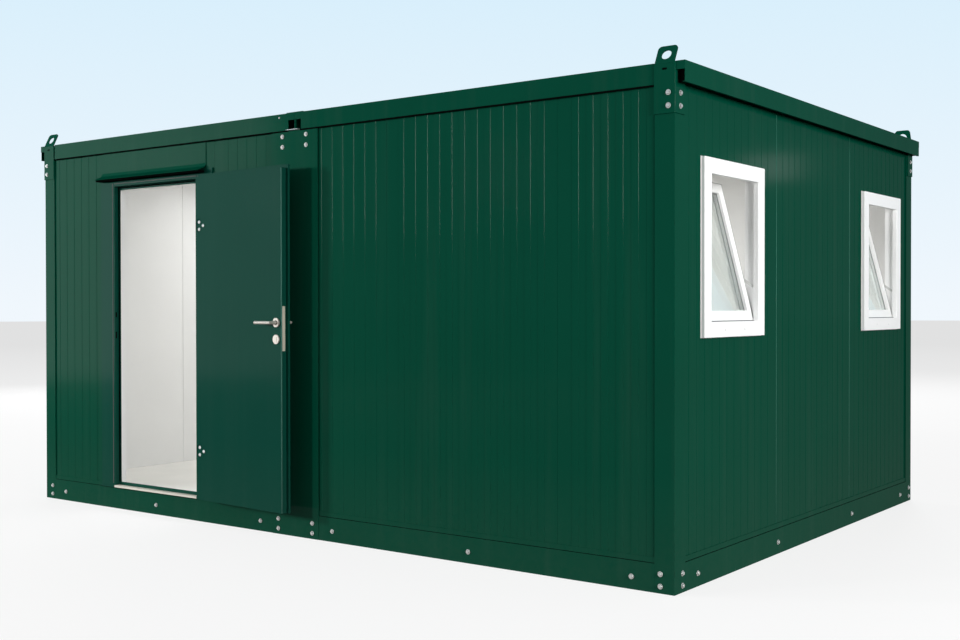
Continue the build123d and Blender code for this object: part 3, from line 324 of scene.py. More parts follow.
zinc_plate = soft("zinc_plate", (0.46, 0.46, 0.44, 1), 0.36, cloud=0.2, grain=0.2, metallic=0.75)
for shape, sides, shape_name in ((WASHER, 18, "washers"), (SCREW_HEAD, 6, "screw_heads")):
    parts = [turned(shape, sides, front_places, (0, -1, 0), (1, 0, 0)),
             turned(shape, sides, back_places, (0, 1, 0), (1, 0, 0)),
             turned(shape, sides, side_places, (1, 0, 0), (0, 1, 0)),
             turned(shape, sides, left_places, (-1, 0, 0), (0, 1, 0))]
    skin(f"frame_{shape_name}", parts, zinc_plate, "cabin")

# ------------------------------------------------------------------ seals and painted shade of the frame
# A black strip under the roof edge, where it meets the panel tops, is painted shade for the gap
# that the edge shades. The open rail ends and a small slot in each bracket under its bend are
# darkened too.


def ring(width, depth, corner, steps=3):
    """Rounded rectangle: four quarter circles about the corners of a smaller rectangle."""
    turn = np.linspace(0, np.pi / 2, steps) + np.arange(4)[:, None] * np.pi / 2
    side = np.array([(1, 1), (-1, 1), (-1, -1), (1, -1)])[:, None, :]
    middle = side * (width / 2 - corner, depth / 2 - corner)
    return (middle + corner * np.stack([np.cos(turn), np.sin(turn)], -1)).reshape(-1, 2)


def bar(start, end, across, width, depth, corner=0.0004):
    """Bar: a rounded rectangle carried straight from start to end, shrunk to a point at each.

    Point = station + x across + y (along x across), x and y going round the section.
    """
    start, end, across = np.array(start, float), np.array(end, float), np.array(across, float)
    along = (end - start) / np.linalg.norm(end - start)
    x, y = ring(width, depth, corner).T
    section = np.outer(x, across) + np.outer(y, np.cross(along, across))
    swell = np.array((0, 1, 1, 0))[:, None, None]
    return np.stack([start, start, end, end])[:, None, :] + swell * section


# Black rubber for seals and bushes; the same black is also painted shade in gaps and holes.
black_rubber_and_shade = soft("black_rubber_and_shade", (0.0020, 0.0028, 0.0025, 1), 0.7, cloud=0.3, grain=0.2,
                    level=0.0)
POST_NEAR = 2.331  # the corner post's edge that faces the wall
SHADE_STRIP_END = 0.046
SHADE_STRIP_DEPTH, SHADE_STRIP_HEIGHT = 0.0026, 0.009
shade_strip_y = POST_FACE + 0.0016
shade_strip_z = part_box("roof_edges")[0][2] - 0.0003 - SHADE_STRIP_HEIGHT / 2
# Painted shade: a black strip under each roof edge, for the shadow in the gap there.
roof_shade_strips = [bar((near, y, shade_strip_z), (far, y, shade_strip_z), (0, 1, 0), SHADE_STRIP_DEPTH, SHADE_STRIP_HEIGHT)
         for y in (-shade_strip_y, shade_strip_y)
         for near, far in ((-POST_NEAR, -SHADE_STRIP_END), (SHADE_STRIP_END, POST_NEAR))]
skin("roof_edge_shade_strips", roof_shade_strips, black_rubber_and_shade, "cabin")

# Painted shade: black pieces fill a slot in each bracket under its lug's bend, the open end of each
# roof rail, and a small round hole in the roof's joint cap at the back, for the shade inside them.
# A rivet holds each end of that cap.
SLOT_X, SLOT_Z = 2.386, 2.409
SLOT_SIZE = (0.026, 0.010, 0.0049)
MOUTH_X, MOUTH_Z = 2.4605, 2.371
MOUTH_NEAR, MOUTH_FAR = 1.690, 1.700
MOUTH_SIZE = (0.046, 0.054)
CAP_HOLE_X, CAP_RIVET_X, CAP_Z = 0.108, 0.125, 2.420
CAP_HOLE_SIZE = (0.012, 0.012, 0.0058)
painted_shade_holes = []
for side in (-1, 1):
    for end in (-1, 1):
        x, y = side * SLOT_X, end * BRACKET_FACE
        painted_shade_holes.append(bar((x, y - end * 0.0002, SLOT_Z), (x, y + end * 0.0004, SLOT_Z),
                              (1, 0, 0), *SLOT_SIZE))
        x = side * MOUTH_X
        painted_shade_holes.append(bar((x, end * MOUTH_NEAR, MOUTH_Z), (x, end * MOUTH_FAR, MOUTH_Z),
                              (1, 0, 0), *MOUTH_SIZE))
painted_shade_holes.append(bar((-CAP_HOLE_X, POST_FACE + 0.0001, CAP_Z),
                      (-CAP_HOLE_X, POST_FACE + 0.0007, CAP_Z), (1, 0, 0), *CAP_HOLE_SIZE))
skin("painted_shade_openings", painted_shade_holes, black_rubber_and_shade, "cabin")
RIVET = ((0, 0), (0.0062, 0), (0.0056, 0.0014), (0.0035, 0.0024), (0, 0.0028))
rivets = [turned(RIVET, 14, [(end * CAP_RIVET_X, end * POST_FACE, CAP_Z)], (0, end, 0), (1, 0, 0))
          for end in (-1, 1)]
skin("cap_rivets", rivets, zinc_plate, "cabin", smooth=True)

# A thin dark mastic line lies in the joint between the base rail and the trim above it.
TRIM_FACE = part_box("base_trims")[1][1]
TRIM_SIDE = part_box("base_trims")[1][0]
SILL_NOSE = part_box("door_sill")[0][1]
SILL_LEFT, SILL_RIGHT = -1.803, -0.708
COVER_EDGE = 0.155
SIDE_POST_NEAR = 1.616
MASTIC = (0.0022, 0.0024, 0.0006)  # depth, height, corner
mastic_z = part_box("base_trims")[0][2] + 0.0012
mastic = [bar((near, y, mastic_z), (far, y, mastic_z), (0, 1, 0), *MASTIC)
          for near, far, y in ((-POST_NEAR, SILL_LEFT, -TRIM_FACE),
                               (SILL_LEFT, SILL_RIGHT, SILL_NOSE),
                               (SILL_RIGHT, -COVER_EDGE, -TRIM_FACE),
                               (COVER_EDGE, POST_NEAR, -TRIM_FACE),
                               (-POST_NEAR, -COVER_EDGE, TRIM_FACE),
                               (COVER_EDGE, POST_NEAR, TRIM_FACE))]
mastic += [bar((side * TRIM_SIDE, -SIDE_POST_NEAR, mastic_z),
               (side * TRIM_SIDE, SIDE_POST_NEAR, mastic_z), (1, 0, 0), *MASTIC)
           for side in (-1, 1)]
skin("base_mastic", mastic, black_rubber_and_shade, "cabin")

# ------------------------------------------------------------------ ribbed wall panels
# Each sandwich panel has a coil-coated outer sheet 0.5 mm thick, rolled with shallow ribs. The
# coating is smoother than the sprayed frame, and the sheet waves a little between its ribs.
panel_coat = paint("panel_coat", PAINT_GREEN, mottle=0.16, runs=0.05, dust=0.05, peel=0.10,
                   gloss=0.40, size=9.0)
finish_nodes(panel_coat, "front_wall_left_of_door", "front_wall_right_of_door",
             "front_wall_over_door", "front_wall_right", "back_wall", "left_wall",
             "right_wall_front", "right_wall_middle", "right_wall_back")

# The folded edges of two panels meet at each joint of a side wall. Their paint is made pale and
# shiny: a painted highlight for the line of light they catch.
joint_highlight_coat = paint("joint_highlight_coat", (0.050, 0.200, 0.145, 1), mottle=0.1, runs=0.03, dust=0.03,
                   peel=0.02, shine=0.25)
PANEL_RECESS = 0.008
PANEL_JOINT = 0.550
JOINT_FOLD = (0.0030, 0.0018, 0.0007)  # width, depth, corner
joint_x = SIDE_FACE - PANEL_RECESS + 0.0004
joint_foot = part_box("base_trims")[1][2] + 0.001
joint_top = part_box("right_wall_middle")[1][2] - 0.002
joint_folds = [bar((x, y, joint_foot), (x, y, joint_top), (0, 1, 0), *JOINT_FOLD)
               for x in (-joint_x, joint_x) for y in (-PANEL_JOINT, PANEL_JOINT)]
skin("panel_joint_folds", joint_folds, joint_highlight_coat, "cabin", smooth=True)

# ------------------------------------------------------------------ galvanised sheet
# The floor joists, roof sheets and spouts are zinc-dipped steel with its pattern of crystals,
# each reflecting a little differently.


def zinc_group():
    """Zinc crystals: Voronoi cells, each with its own tone and roughness."""
    group, given, made = new_group(
        "zinc_crystals",
        (("Size", "NodeSocketFloat", 60.0), ("Tone", "NodeSocketColor", (0.55, 0.57, 0.58, 1)),
         ("Rough", "NodeSocketFloat", 0.35)),
        (("Color", "NodeSocketColor"), ("Roughness", "NodeSocketFloat")))
    links = group.links
    place = lay(group, "ShaderNodeTexCoord").outputs["Object"]
    cells = lay(group, "ShaderNodeTexVoronoi")
    links.new(place, cells.inputs["Vector"])
    links.new(given.outputs["Size"], cells.inputs["Scale"])
    split = lay(group, "ShaderNodeSeparateXYZ")
    links.new(cells.outputs["Color"], split.inputs[0])
    tone = math_node(group, "MULTIPLY", split.outputs["X"], 0.30)
    tone = math_node(group, "ADD", tone, 0.82)
    shade = lay(group, "ShaderNodeVectorMath", operation="SCALE")
    links.new(given.outputs["Tone"], shade.inputs[0])
    links.new(tone, shade.inputs["Scale"])
    links.new(shade.outputs[0], made.inputs["Color"])
    rough = math_node(group, "MULTIPLY", split.outputs["Y"], 0.18)
    rough = math_node(group, "ADD", rough, given.outputs["Rough"])
    links.new(rough, made.inputs["Roughness"])
    return group


ZINC = zinc_group()


def zinc(name, size, tone, rough):
    """Galvanised steel with crystals of a given number to the metre."""
    material, tree, shader = new_material(name)
    shader.inputs["Metallic"].default_value = 0.85
    coat = lay(tree, "ShaderNodeGroup", node_tree=ZINC)
    for label, value in (("Size", size), ("Tone", tone), ("Rough", rough)):
        coat.inputs[label].default_value = value
    feed(tree, coat, shader)
    return material


galvanised = zinc("galvanised", 55.0, (0.62, 0.64, 0.65, 1), 0.35)
finish_nodes(galvanised, "floor_joists", "roof_panels", "gutter_spouts")

# ------------------------------------------------------------------ white inside
# The walls and ceiling are lined with white coated sheet, with flat strips over its joints; the
# doorway's inner reveal is folded from the same sheet.
white_sheet = soft("white_sheet", (0.765, 0.765, 0.755, 1), 0.45)
finish_nodes(white_sheet, "wall_lining", "lining_strips", "ceiling", "ceiling_joint_cover",
             "door_inner_trim")

# ------------------------------------------------------------------ floor
# A chipboard deck lies on the joists, with pale grey-beige sheet vinyl welded over it. The vinyl
# is printed with a fine fleck.
floor_vinyl = soft("floor_vinyl", (0.76, 0.75, 0.71, 1), 0.35, cloud=0.25, grain=0.1,
                   grain_size=300.0)
finish_nodes(floor_vinyl, "floor_decks")

# ------------------------------------------------------------------ door leaf, frame and sill
# The leaf is two folded steel skins with lips that overlap the frame, coated like the walls.
# The frame and the sill are the same coated steel.
DOOR_GREEN = (0.0030, 0.050, 0.034, 1)
DOOR_WEAR = {"mottle": 0.15, "runs": 0.03, "dust": 0.05, "peel": 0.06, "gloss": 0.40, "size": 14.0}
leaf_coat = paint("leaf_coat", DOOR_GREEN, shine=0.04, **DOOR_WEAR)
finish_nodes(leaf_coat, "door_leaf")
door_frame_coat = paint("door_frame_coat", DOOR_GREEN, **DOOR_WEAR)
finish_nodes(door_frame_coat, "door_head", "door_jambs", "door_sill")

FRAME_FACE = -1.724
STOP_FACE = -1.691
REVEAL_LEFT, REVEAL_RIGHT = -1.662, -0.849
REVEAL_TOP = 2.114
SILL_TOP = 0.150

# A dark rubber seal lies on the frame's face round the opening, and a black one on the stop
# behind it.
# Dark grey rubber for the face seal; the same grey is also painted shade in the window slots.
dark_rubber_and_shade = soft("dark_rubber_and_shade", (0.050, 0.058, 0.054, 1), 0.5, cloud=0.2, grain=0.2, level=0.3)
FACE_SEAL_OUT, STOP_SEAL_IN = 0.017, 0.007  # from the reveal to the middle of each seal
FACE_SEAL_WIDTH, FACE_SEAL_DEPTH, FACE_SEAL_CORNER = 0.006, 0.0022, 0.0009
STOP_SEAL_WIDTH, STOP_SEAL_DEPTH, STOP_SEAL_CORNER = 0.008, 0.0034, 0.0014
FACE_SEAL_FOOT, STOP_SEAL_FOOT = 0.165, 0.175
face_seal_y = FRAME_FACE - 0.0009
stop_seal_y = STOP_FACE - 0.0016
face_seal = []
stop_seal = []
for reveal, out in ((REVEAL_LEFT, -1), (REVEAL_RIGHT, 1)):
    x = reveal + out * FACE_SEAL_OUT
    face_seal.append(bar((x, face_seal_y, FACE_SEAL_FOOT), (x, face_seal_y, REVEAL_TOP + 0.019),
                         (1, 0, 0), FACE_SEAL_WIDTH, FACE_SEAL_DEPTH, FACE_SEAL_CORNER))
    x = reveal - out * STOP_SEAL_IN
    stop_seal.append(bar((x, stop_seal_y, STOP_SEAL_FOOT), (x, stop_seal_y, REVEAL_TOP - 0.004),
                         (1, 0, 0), STOP_SEAL_WIDTH, STOP_SEAL_DEPTH, STOP_SEAL_CORNER))
z = REVEAL_TOP + FACE_SEAL_OUT
face_seal.append(bar((REVEAL_LEFT, face_seal_y, z), (REVEAL_RIGHT, face_seal_y, z), (0, 1, 0),
                     FACE_SEAL_DEPTH, FACE_SEAL_WIDTH, FACE_SEAL_CORNER))
z = REVEAL_TOP - 0.009
stop_seal.append(bar((REVEAL_LEFT + 0.012, stop_seal_y, z), (REVEAL_RIGHT - 0.012, stop_seal_y, z),
                     (0, 1, 0), STOP_SEAL_DEPTH, STOP_SEAL_WIDTH, STOP_SEAL_CORNER))
skin("door_face_seal", face_seal, dark_rubber_and_shade, "cabin")
skin("door_stop_seal", stop_seal, black_rubber_and_shade, "cabin")

# The threshold is a pale anodised strip that caps the sill and folds down over its nose.
threshold_metal = soft("threshold_metal", (0.60, 0.57, 0.50, 1), 0.42, cloud=0.2, grain=0.25,
                       grain_size=60.0, metallic=0.25)
THRESHOLD_TOP = (-1.7115, SILL_TOP + 0.0013, 0.0390, 0.0024)  # y, z, depth, height
THRESHOLD_NOSE = (-1.7312, SILL_TOP - 0.0040, 0.0022, 0.0130)
left, right = REVEAL_LEFT + 0.001, REVEAL_RIGHT - 0.001
threshold = [bar((left, y, z), (right, y, z), (0, 1, 0), depth, height)
             for y, z, depth, height in (THRESHOLD_TOP, THRESHOLD_NOSE)]
skin("door_threshold", threshold, threshold_metal, "cabin")

# Painted shade: a black strip fills the gap between the door head and the rain hood above it, for
# the hood's shadow there.
HOOD_SHADE_LEFT, HOOD_SHADE_RIGHT, HOOD_SHADE_Z = -1.796, -0.774, 2.1535
HOOD_SHADE = (0.044, 0.013, 0.002)  # depth, height, corner
hood_shade_y = FRAME_FACE - 0.024
hood_shade = [bar((HOOD_SHADE_LEFT, hood_shade_y, HOOD_SHADE_Z),
                 (HOOD_SHADE_RIGHT, hood_shade_y, HOOD_SHADE_Z), (0, 1, 0), *HOOD_SHADE)]
skin("hood_shade", hood_shade, black_rubber_and_shade, "cabin")

# The strike plate is screwed to the reveal, with a pocket for the latch and one for the bolt.
STRIKE_Y = -1.7125
STRIKE_FOOT, STRIKE_TOP = 1.073, 1.327
STRIKE_WIDTH, STRIKE_THICK = 0.020, 0.0012
LATCH_POCKET, BOLT_POCKET = (1.257, 1.289), (1.118, 1.161)
POCKET_SIZE = (0.012, 0.0010)
strike_x = REVEAL_LEFT + STRIKE_THICK / 2
strike = [bar((strike_x, STRIKE_Y, STRIKE_FOOT), (strike_x, STRIKE_Y, STRIKE_TOP), (0, 1, 0),
              STRIKE_WIDTH, STRIKE_THICK, 0.0005)]
skin("strike_plate", strike, door_frame_coat, "cabin")
# Painted shade: a black strip in each pocket, for the shade inside it.
pocket_x = REVEAL_LEFT + STRIKE_THICK - 0.0002
pocket_shade = [bar((pocket_x, STRIKE_Y, low), (pocket_x, STRIKE_Y, high), (0, 1, 0), *POCKET_SIZE)
           for low, high in (BOLT_POCKET, LATCH_POCKET)]
skin("strike_pocket_shade", pocket_shade, black_rubber_and_shade, "cabin")

# ------------------------------------------------------------------ door furniture
# Each hinge is held through the leaf by three domed screws in a pressed dish. The levers are
# satin aluminium on round roses, with a black bush round each neck.
LEAF_TURN = math.radians(4.4)
LEAF_ALONG = np.array((math.cos(LEAF_TURN), -math.sin(LEAF_TURN), 0))
LEAF_OUT = np.array((-math.sin(LEAF_TURN), -math.cos(LEAF_TURN), 0))
LEAF_HINGE = np.array((-0.802, -1.751, 0))
LEVER_ALONG = 0.813
LEVER_HEIGHT = 1.234


def on_leaf(along, out, height):
    """Point on the open leaf: so far from the hinge along it, out from the wall, and up."""
    return LEAF_HINGE + along * LEAF_ALONG + out * LEAF_OUT + np.array((0, 0, height))


bright_steel = soft("bright_steel", (0.66, 0.66, 0.64, 1), 0.30, cloud=0.15, grain=0.1,
                    metallic=0.7)
finish_nodes(bright_steel, "window_stays", "frame_hinges", "leaf_hinges")
lock_plate = soft("lock_plate", (0.58, 0.54, 0.44, 1), 0.38, cloud=0.2, grain=0.2, metallic=0.15)
finish_nodes(lock_plate, "door_lock")
satin_lever = soft("satin_lever", (0.50, 0.46, 0.41, 1), 0.34, grain=0.15, grain_size=400.0,
                   metallic=0.5)
finish_nodes(satin_lever, "door_levers", "door_roses")

# A rounded bead runs down the leaf's free edge. Its paint is made pale and shiny: a painted
# highlight for the line of light along that edge.
edge_highlight_coat = paint("edge_highlight_coat", (0.070, 0.190, 0.150, 1), mottle=0.1, runs=0.03, dust=0.03,
                  peel=0.02, shine=0.25)
BEAD_ALONG, BEAD_OUT, BEAD_FOOT, BEAD_TOP = 0.8524, 0.0526, 0.157, 2.107
BEAD_SIZE = (0.0064, 0.0064, 0.0031)
edge_bead = [bar(on_leaf(BEAD_ALONG, BEAD_OUT, BEAD_FOOT), on_leaf(BEAD_ALONG, BEAD_OUT, BEAD_TOP),
                 LEAF_ALONG, *BEAD_SIZE)]
skin("leaf_edge_bead", edge_bead, edge_highlight_coat, "door", smooth=True)

DOME_HEAD = ((0, 0), (0.0105, 0), (0.0105, 0.0012), (0.0085, 0.0034), (0.0048, 0.0048),
             (0, 0.0052))
DISH_FLOOR = 0.0515  # from the hinge line out to the floor of the pressed dish
DISH_HEIGHTS = (0.450, 1.814)
DISH_SCREWS = ((0.083, 0.022), (0.083, -0.022), (0.122, 0.0))  # along the leaf, and up
hinge_screws = [on_leaf(along, DISH_FLOOR, height + rise) for height in DISH_HEIGHTS
                for along, rise in DISH_SCREWS]
skin("hinge_screws", [turned(DOME_HEAD, 16, hinge_screws, LEAF_OUT, LEAF_ALONG)],
     bright_steel, "door", smooth=True)

BUSH = ((0, 0), (0.0125, 0), (0.0125, 0.0010), (0.0115, 0.0016), (0, 0.0016))
ROSE_FACE = 0.0629  # from the hinge line out to the face of the rose
bushes = [turned(BUSH, 24, [on_leaf(LEVER_ALONG, ROSE_FACE, LEVER_HEIGHT)], LEAF_OUT, LEAF_ALONG)]
skin("lever_bushes", bushes, black_rubber_and_shade, "door", smooth=True)

# ------------------------------------------------------------------ windows
# Frames and sashes are white uPVC, welded at the corners and slightly glossy. Each tilted sash
# holds two panes, kept 15 mm apart by an aluminium spacer and bedded in grey gaskets.
white_pvc = soft("white_pvc", (0.94, 0.94, 0.93, 1), 0.25, cloud=0.03, grain=0.03)
finish_nodes(white_pvc, "window_frames", "window_sashes", "sash_hinges")

WINDOW_PLACES = (-1.1, 1.1)
WINDOW_HEIGHT = 1.604
GLASS_SIZE = (0.4814, 0.6514)
SASH_OPENING = (0.462, 0.632)
SASH_LINE_SIZE = (0.572, 0.742)
FRAME_OUTSIDE = (0.690, 0.860)
SASH_TILT = math.radians(14.5)
SASH_UP = np.array((-math.sin(SASH_TILT), 0, math.cos(SASH_TILT)))
SASH_OUT = np.array((math.cos(SASH_TILT), 0, math.sin(SASH_TILT)))
ALONG_WALL = np.array((0.0, 1.0, 0.0))
glass_low, glass_high = (np.array(corner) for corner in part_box("window_glass"))
glass_middle = (glass_low + glass_high) / 2
glass_places = [glass_middle * (1, 0, 1) + (0, y, 0) for y in WINDOW_PLACES]
frame_places = [np.array((0, y, WINDOW_HEIGHT)) for y in WINDOW_PLACES]


def mitred(middle, up, size, section):
    """Frame: a section of (outward, forward) points carried round a rectangle's four corners.

    Point = middle + sx (half width + outward) along + sy (half height + outward) up
    + forward (along x up), with (sx, sy) the corner's signs.
    """
    sign = np.array([(1, 1), (-1, 1), (-1, -1), (1, -1), (1, 1)], float)[:, None, :]
    outward, forward = np.array(section, float).T
    reach = sign * (np.array(size)[None, None, :] / 2 + outward[None, :, None])
    return (np.array(middle) + reach[..., :1] * ALONG_WALL + reach[..., 1:] * np.array(up)
            + forward[None, :, None] * np.cross(ALONG_WALL, up))[None]


glass, tree, shader = new_material("clear_glass")
shader.inputs["Transmission Weight"].default_value = 1.0
shader.inputs["IOR"].default_value = 1.45
place = lay(tree, "ShaderNodeTexCoord")
film = lay(tree, "ShaderNodeTexNoise", {"Scale": 6.0, "Detail": 3.0})
tree.links.new(place.outputs["Object"], film.inputs["Vector"])
film_rough = lay(tree, "ShaderNodeMapRange", {"To Min": 0.0, "To Max": 0.02})
tree.links.new(film.outputs["Fac"], film_rough.inputs["Value"])
tree.links.new(film_rough.outputs[0], shader.inputs["Roughness"])
film_tint = lay(tree, "ShaderNodeMix", {"A": (0.93, 0.97, 0.95, 1), "B": (0.97, 0.99, 0.98, 1)},
                data_type="RGBA")
tree.links.new(film.outputs["Fac"], film_tint.inputs["Factor"])
tree.links.new(film_tint.outputs["Result"], shader.inputs["Base Color"])

PANE_FACES = ((0.0115, 0.0075), (-0.0075, -0.0115))  # outward from the middle of the glass
PANE_CORNER = 0.0008
panes = [bar(place + near * SASH_OUT, place + far * SASH_OUT, ALONG_WALL, *GLASS_SIZE, PANE_CORNER)
         for place in glass_places for near, far in PANE_FACES]
pane_skin = skin("window_panes", panes, glass, "cabin")
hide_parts("window_glass")
spacer_metal = soft("spacer_metal", (0.74, 0.75, 0.74, 1), 0.4, cloud=0.1, grain=0.1, metallic=0.1)
SPACER = ((0.0015, -0.0070), (0.0080, -0.0070), (0.0080, 0.0070), (0.0015, 0.0070))
skin("pane_spacers", [mitred(place, SASH_UP, SASH_OPENING, SPACER) for place in glass_places],
     spacer_metal, "cabin")

# A grey gasket holds the glass on each side, and a third fills the line between sash and frame.
grey_rubber = soft("grey_rubber", (0.20, 0.205, 0.20, 1), 0.55, cloud=0.2, grain=0.2, level=0.2)
OUTER_BEAD = ((-0.0025, 0.0120), (0.0004, 0.0120), (0.0004, 0.0150), (-0.0010, 0.0145))
INNER_BEAD = ((0.0004, -0.0120), (-0.0025, -0.0120), (-0.0010, -0.0145), (0.0004, -0.0150))
SASH_LINE = ((-0.0050, 0.0287), (-0.0020, 0.0287), (-0.0022, 0.0300), (-0.0048, 0.0300))
gaskets = [mitred(place, SASH_UP, size, bead) for place in glass_places
           for size, bead in ((SASH_OPENING, OUTER_BEAD), (SASH_OPENING, INNER_BEAD),
                              (SASH_LINE_SIZE, SASH_LINE))]
skin("glazing_gaskets", gaskets, grey_rubber, "cabin")

# A bead of pale sealant runs round each frame where it meets the ribbed sheet, and two small
# caps cover the drain holes in its foot.
SEALANT = ((-0.0015, 2.4290), (0.0035, 2.4288), (0.0035, 2.4294), (0.0000, 2.4330),
           (-0.0015, 2.4330))
sealant = soft("sealant", (0.62, 0.62, 0.60, 1), 0.5, cloud=0.2, grain=0.3)
skin("window_sealant", [mitred(place, (0, 0, 1), FRAME_OUTSIDE, SEALANT) for place in frame_places],
     sealant, "cabin")
CAP_BACK, CAP_FRONT, CAP_HEIGHT = 2.4515, 2.4545, 1.210
CAP_OFFSET = 0.11  # from the window's middle line
CAP_SIZE = (0.030, 0.012, 0.004)
caps = [bar((CAP_BACK, y, CAP_HEIGHT), (CAP_FRONT, y, CAP_HEIGHT), ALONG_WALL, *CAP_SIZE)
        for window in WINDOW_PLACES for y in (window - CAP_OFFSET, window + CAP_OFFSET)]
skin("drain_caps", caps, white_pvc, "cabin")

# Painted shade: a dark strip lies in the foot of each frame, under the sash, for the shadow in the
# slot.
STRIP_X, STRIP_Z = 2.438, 1.2508
STRIP_FROM, STRIP_TO = -0.262, 0.235  # from the window's middle line
STRIP_SIZE = (0.008, 0.0036)
slot_shade_strips = [bar((STRIP_X, y + STRIP_FROM, STRIP_Z), (STRIP_X, y + STRIP_TO, STRIP_Z),
                      (1, 0, 0), *STRIP_SIZE) for y in WINDOW_PLACES]
skin("window_slot_shade", slot_shade_strips, dark_rubber_and_shade, "cabin")

# ------------------------------------------------------------------ floor, sky and light
# A wide pale floor that fades towards the horizon, a pale blue sky for what looks past the
# cabin, an even world light, and soft lamps.
FLOOR_CENTRE = np.array((5.03, -6.69, -0.002))
FLOOR_NEAR, FLOOR_FAR, FLOOR_RINGS, FLOOR_SIDES = 3.0, 123.0, 12, 96
radius = np.concatenate([(0.0,), np.geomspace(FLOOR_NEAR, FLOOR_FAR, FLOOR_RINGS)])[:, None]
turn = np.linspace(0, 2 * np.pi, FLOOR_SIDES, endpoint=False)
ground_points = FLOOR_CENTRE + np.stack(np.broadcast_arrays(
    radius * np.cos(turn), radius * np.sin(turn), 0.0), -1)
ground_mesh = grid_mesh("ground", [ground_points])
ground = bpy.data.objects.new("ground", ground_mesh)
bpy.context.scene.collection.objects.link(ground)


def shown_directly(tree):
    """1 for a ray that shows the surroundings: to the camera, off a gloss or through glass."""
    ray = lay(tree, "ShaderNodeLightPath")
    shown = math_node(tree, "MAXIMUM", ray.outputs["Is Camera Ray"], ray.outputs["Is Glossy Ray"])
    return math_node(tree, "MAXIMUM", shown, ray.outputs["Is Transmission Ray"])


FADE_START, FADE_END = 4.5, 45.0
NEAR_GLOW, FAR_GLOW = 0.80, 0.69
ground_paint, tree, shader = new_material("ground_paint")
shader.inputs["Specular IOR Level"].default_value = 0.0
shader.inputs["Roughness"].default_value = 0.9
shader.inputs["Base Color"].default_value = (0.18, 0.18, 0.18, 1)
place = lay(tree, "ShaderNodeTexCoord")
shift = lay(tree, "ShaderNodeVectorMath", {1: tuple(FLOOR_CENTRE)}, operation="SUBTRACT")
tree.links.new(place.outputs["Object"], shift.inputs[0])
distance = lay(tree, "ShaderNodeVectorMath", operation="LENGTH")
tree.links.new(shift.outputs[0], distance.inputs[0])
fade = lay(tree, "ShaderNodeMapRange", {"From Min": FADE_START, "From Max": FADE_END,
                                        "To Min": NEAR_GLOW, "To Max": FAR_GLOW})
tree.links.new(distance.outputs["Value"], fade.inputs["Value"])
glow = math_node(tree, "MULTIPLY", fade.outputs[0], shown_directly(tree))
tree.links.new(glow, shader.inputs["Emission Color"])
shader.inputs["Emission Strength"].default_value = 1.0
ground_mesh.materials.append(ground_paint)

EVEN_LIGHT = 0.36
BLUE_HEIGHT = 0.245  # sine of the angle over the horizon at which the sky is at its bluest
world = bpy.data.worlds.new("sky")
bpy.context.scene.world = world
world.use_nodes = True
tree = world.node_tree
tree.nodes.clear()
even = lay(tree, "ShaderNodeBackground", {"Color": (0.95, 0.98, 1.0, 1), "Strength": EVEN_LIGHT})
place = lay(tree, "ShaderNodeTexCoord")
split = lay(tree, "ShaderNodeSeparateXYZ")
tree.links.new(place.outputs["Generated"], split.inputs[0])
height = lay(tree, "ShaderNodeMapRange", {"From Min": 0.0, "From Max": BLUE_HEIGHT})
tree.links.new(split.outputs["Z"], height.inputs["Value"])
blue = lay(tree, "ShaderNodeMix", {"A": (0.871, 0.930, 0.982, 1), "B": (0.694, 0.863, 0.973, 1)},
           data_type="RGBA")
tree.links.new(height.outputs[0], blue.inputs["Factor"])
shown_sky = lay(tree, "ShaderNodeBackground", {"Strength": 1.0})
tree.links.new(blue.outputs["Result"], shown_sky.inputs["Color"])
pick = lay(tree, "ShaderNodeMixShader")
tree.links.new(shown_directly(tree), pick.inputs[0])
tree.links.new(even.outputs[0], pick.inputs[1])
tree.links.new(shown_sky.outputs[0], pick.inputs[2])
out = lay(tree, "ShaderNodeOutputWorld")
tree.links.new(pick.outputs[0], out.inputs[0])


def lamp(name, place, aim, size, power, height=None, glossy=False, diffuse=True):
    """Soft lamp at a place, turned to face a point; the camera doesn't see it.

    It is square unless a height is given.
    """
    light = bpy.data.lights.new(name, "AREA")
    light.shape = "RECTANGLE"
    light.size = size
    light.size_y = height or size
    light.energy = power
    holder = bpy.data.objects.new(name, light)
    bpy.context.scene.collection.objects.link(holder)
    holder.location = place
    away = np.array(place) - np.array(aim)
    flat = math.hypot(away[0], away[1])
    holder.rotation_euler = (math.atan2(flat, away[2]), 0, math.atan2(away[0], -away[1]))
    holder.visible_camera = False
    holder.visible_glossy = glossy
    holder.visible_diffuse = diffuse


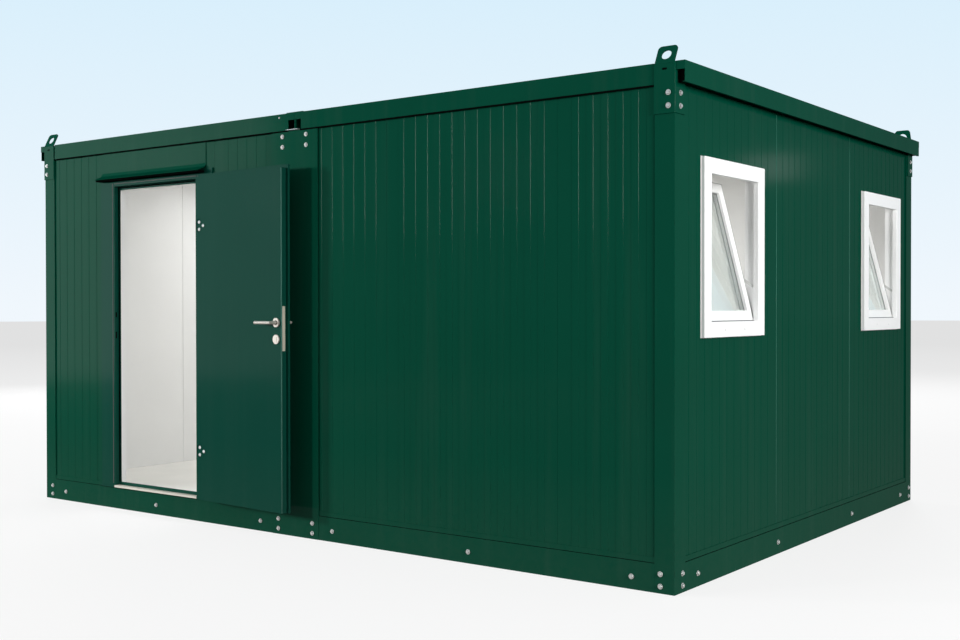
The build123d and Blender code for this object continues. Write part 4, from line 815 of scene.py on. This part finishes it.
DOOR_FRONT = (-0.3, -1.7, 1.2)
WINDOW_SIDE = (2.4, 0, 1.2)
lamp("key_lamp", (-11.3, -9.8, 3.4), DOOR_FRONT, 1.2, 1050)
lamp("second_lamp", (-7.2, -13.9, 3.6), DOOR_FRONT, 1.2, 760)
lamp("side_lamp", (10.0, -3.6, 2.8), WINDOW_SIDE, 3.0, 640)
lamp("back_lamp", (-2.0, 13.0, 9.0), (0, 1.7, 1.2), 4.0, 850)
lamp("left_lamp", (-12.0, 5.0, 5.0), (-2.4, 0, 1.2), 3.0, 380)
for room_name, room_x in (("left", -1.2), ("right", 1.2)):
    lamp(f"{room_name}_room_lamp", (room_x, 0, 2.30), (room_x, 0, 0.5), 1.6, 27)

# Three more lamps only put a sheen on the paint.
SHEEN = {"glossy": True, "diffuse": False}
lamp("left_sheen_lamp", (-13.0, -10.5, 2.5), (-1.5, -1.7, 1.2), 5.0, 400, **SHEEN)
lamp("rib_sheen_lamp", (9.7, -8.2, 3.3), (1.2, -1.7, 1.8), 4.4, 760, height=1.8, **SHEEN)
lamp("side_sheen_lamp", (7.6, 11.3, 3.5), (2.4, 0, 2.0), 0.9, 6, height=0.4, **SHEEN)

# ------------------------------------------------------------------ camera
# It stands off the right front corner at chest height, and takes in the front and the side
# with the windows.
CAMERA_PLACE = (5.03206, -6.68898, 1.32074)
CAMERA_TURN, CAMERA_TILT, CAMERA_ROLL = 36.6994, -0.6104, -0.0618  # degrees
camera_data = bpy.data.cameras.new("camera")
camera_data.sensor_width = 36.0
camera_data.lens = 45.5497
camera_data.clip_end = 300.0
camera = bpy.data.objects.new("camera", camera_data)
bpy.context.scene.collection.objects.link(camera)
camera.location = CAMERA_PLACE
turned_left = mathutils.Matrix.Rotation(math.radians(CAMERA_TURN), 3, "Z")
raised = mathutils.Matrix.Rotation(math.radians(90 + CAMERA_TILT), 3, "X")
rolled = mathutils.Matrix.Rotation(math.radians(CAMERA_ROLL), 3, "Z")
camera.rotation_euler = (turned_left @ raised @ rolled).to_euler()
bpy.context.scene.camera = camera
bpy.context.scene.view_settings.view_transform = "Standard"
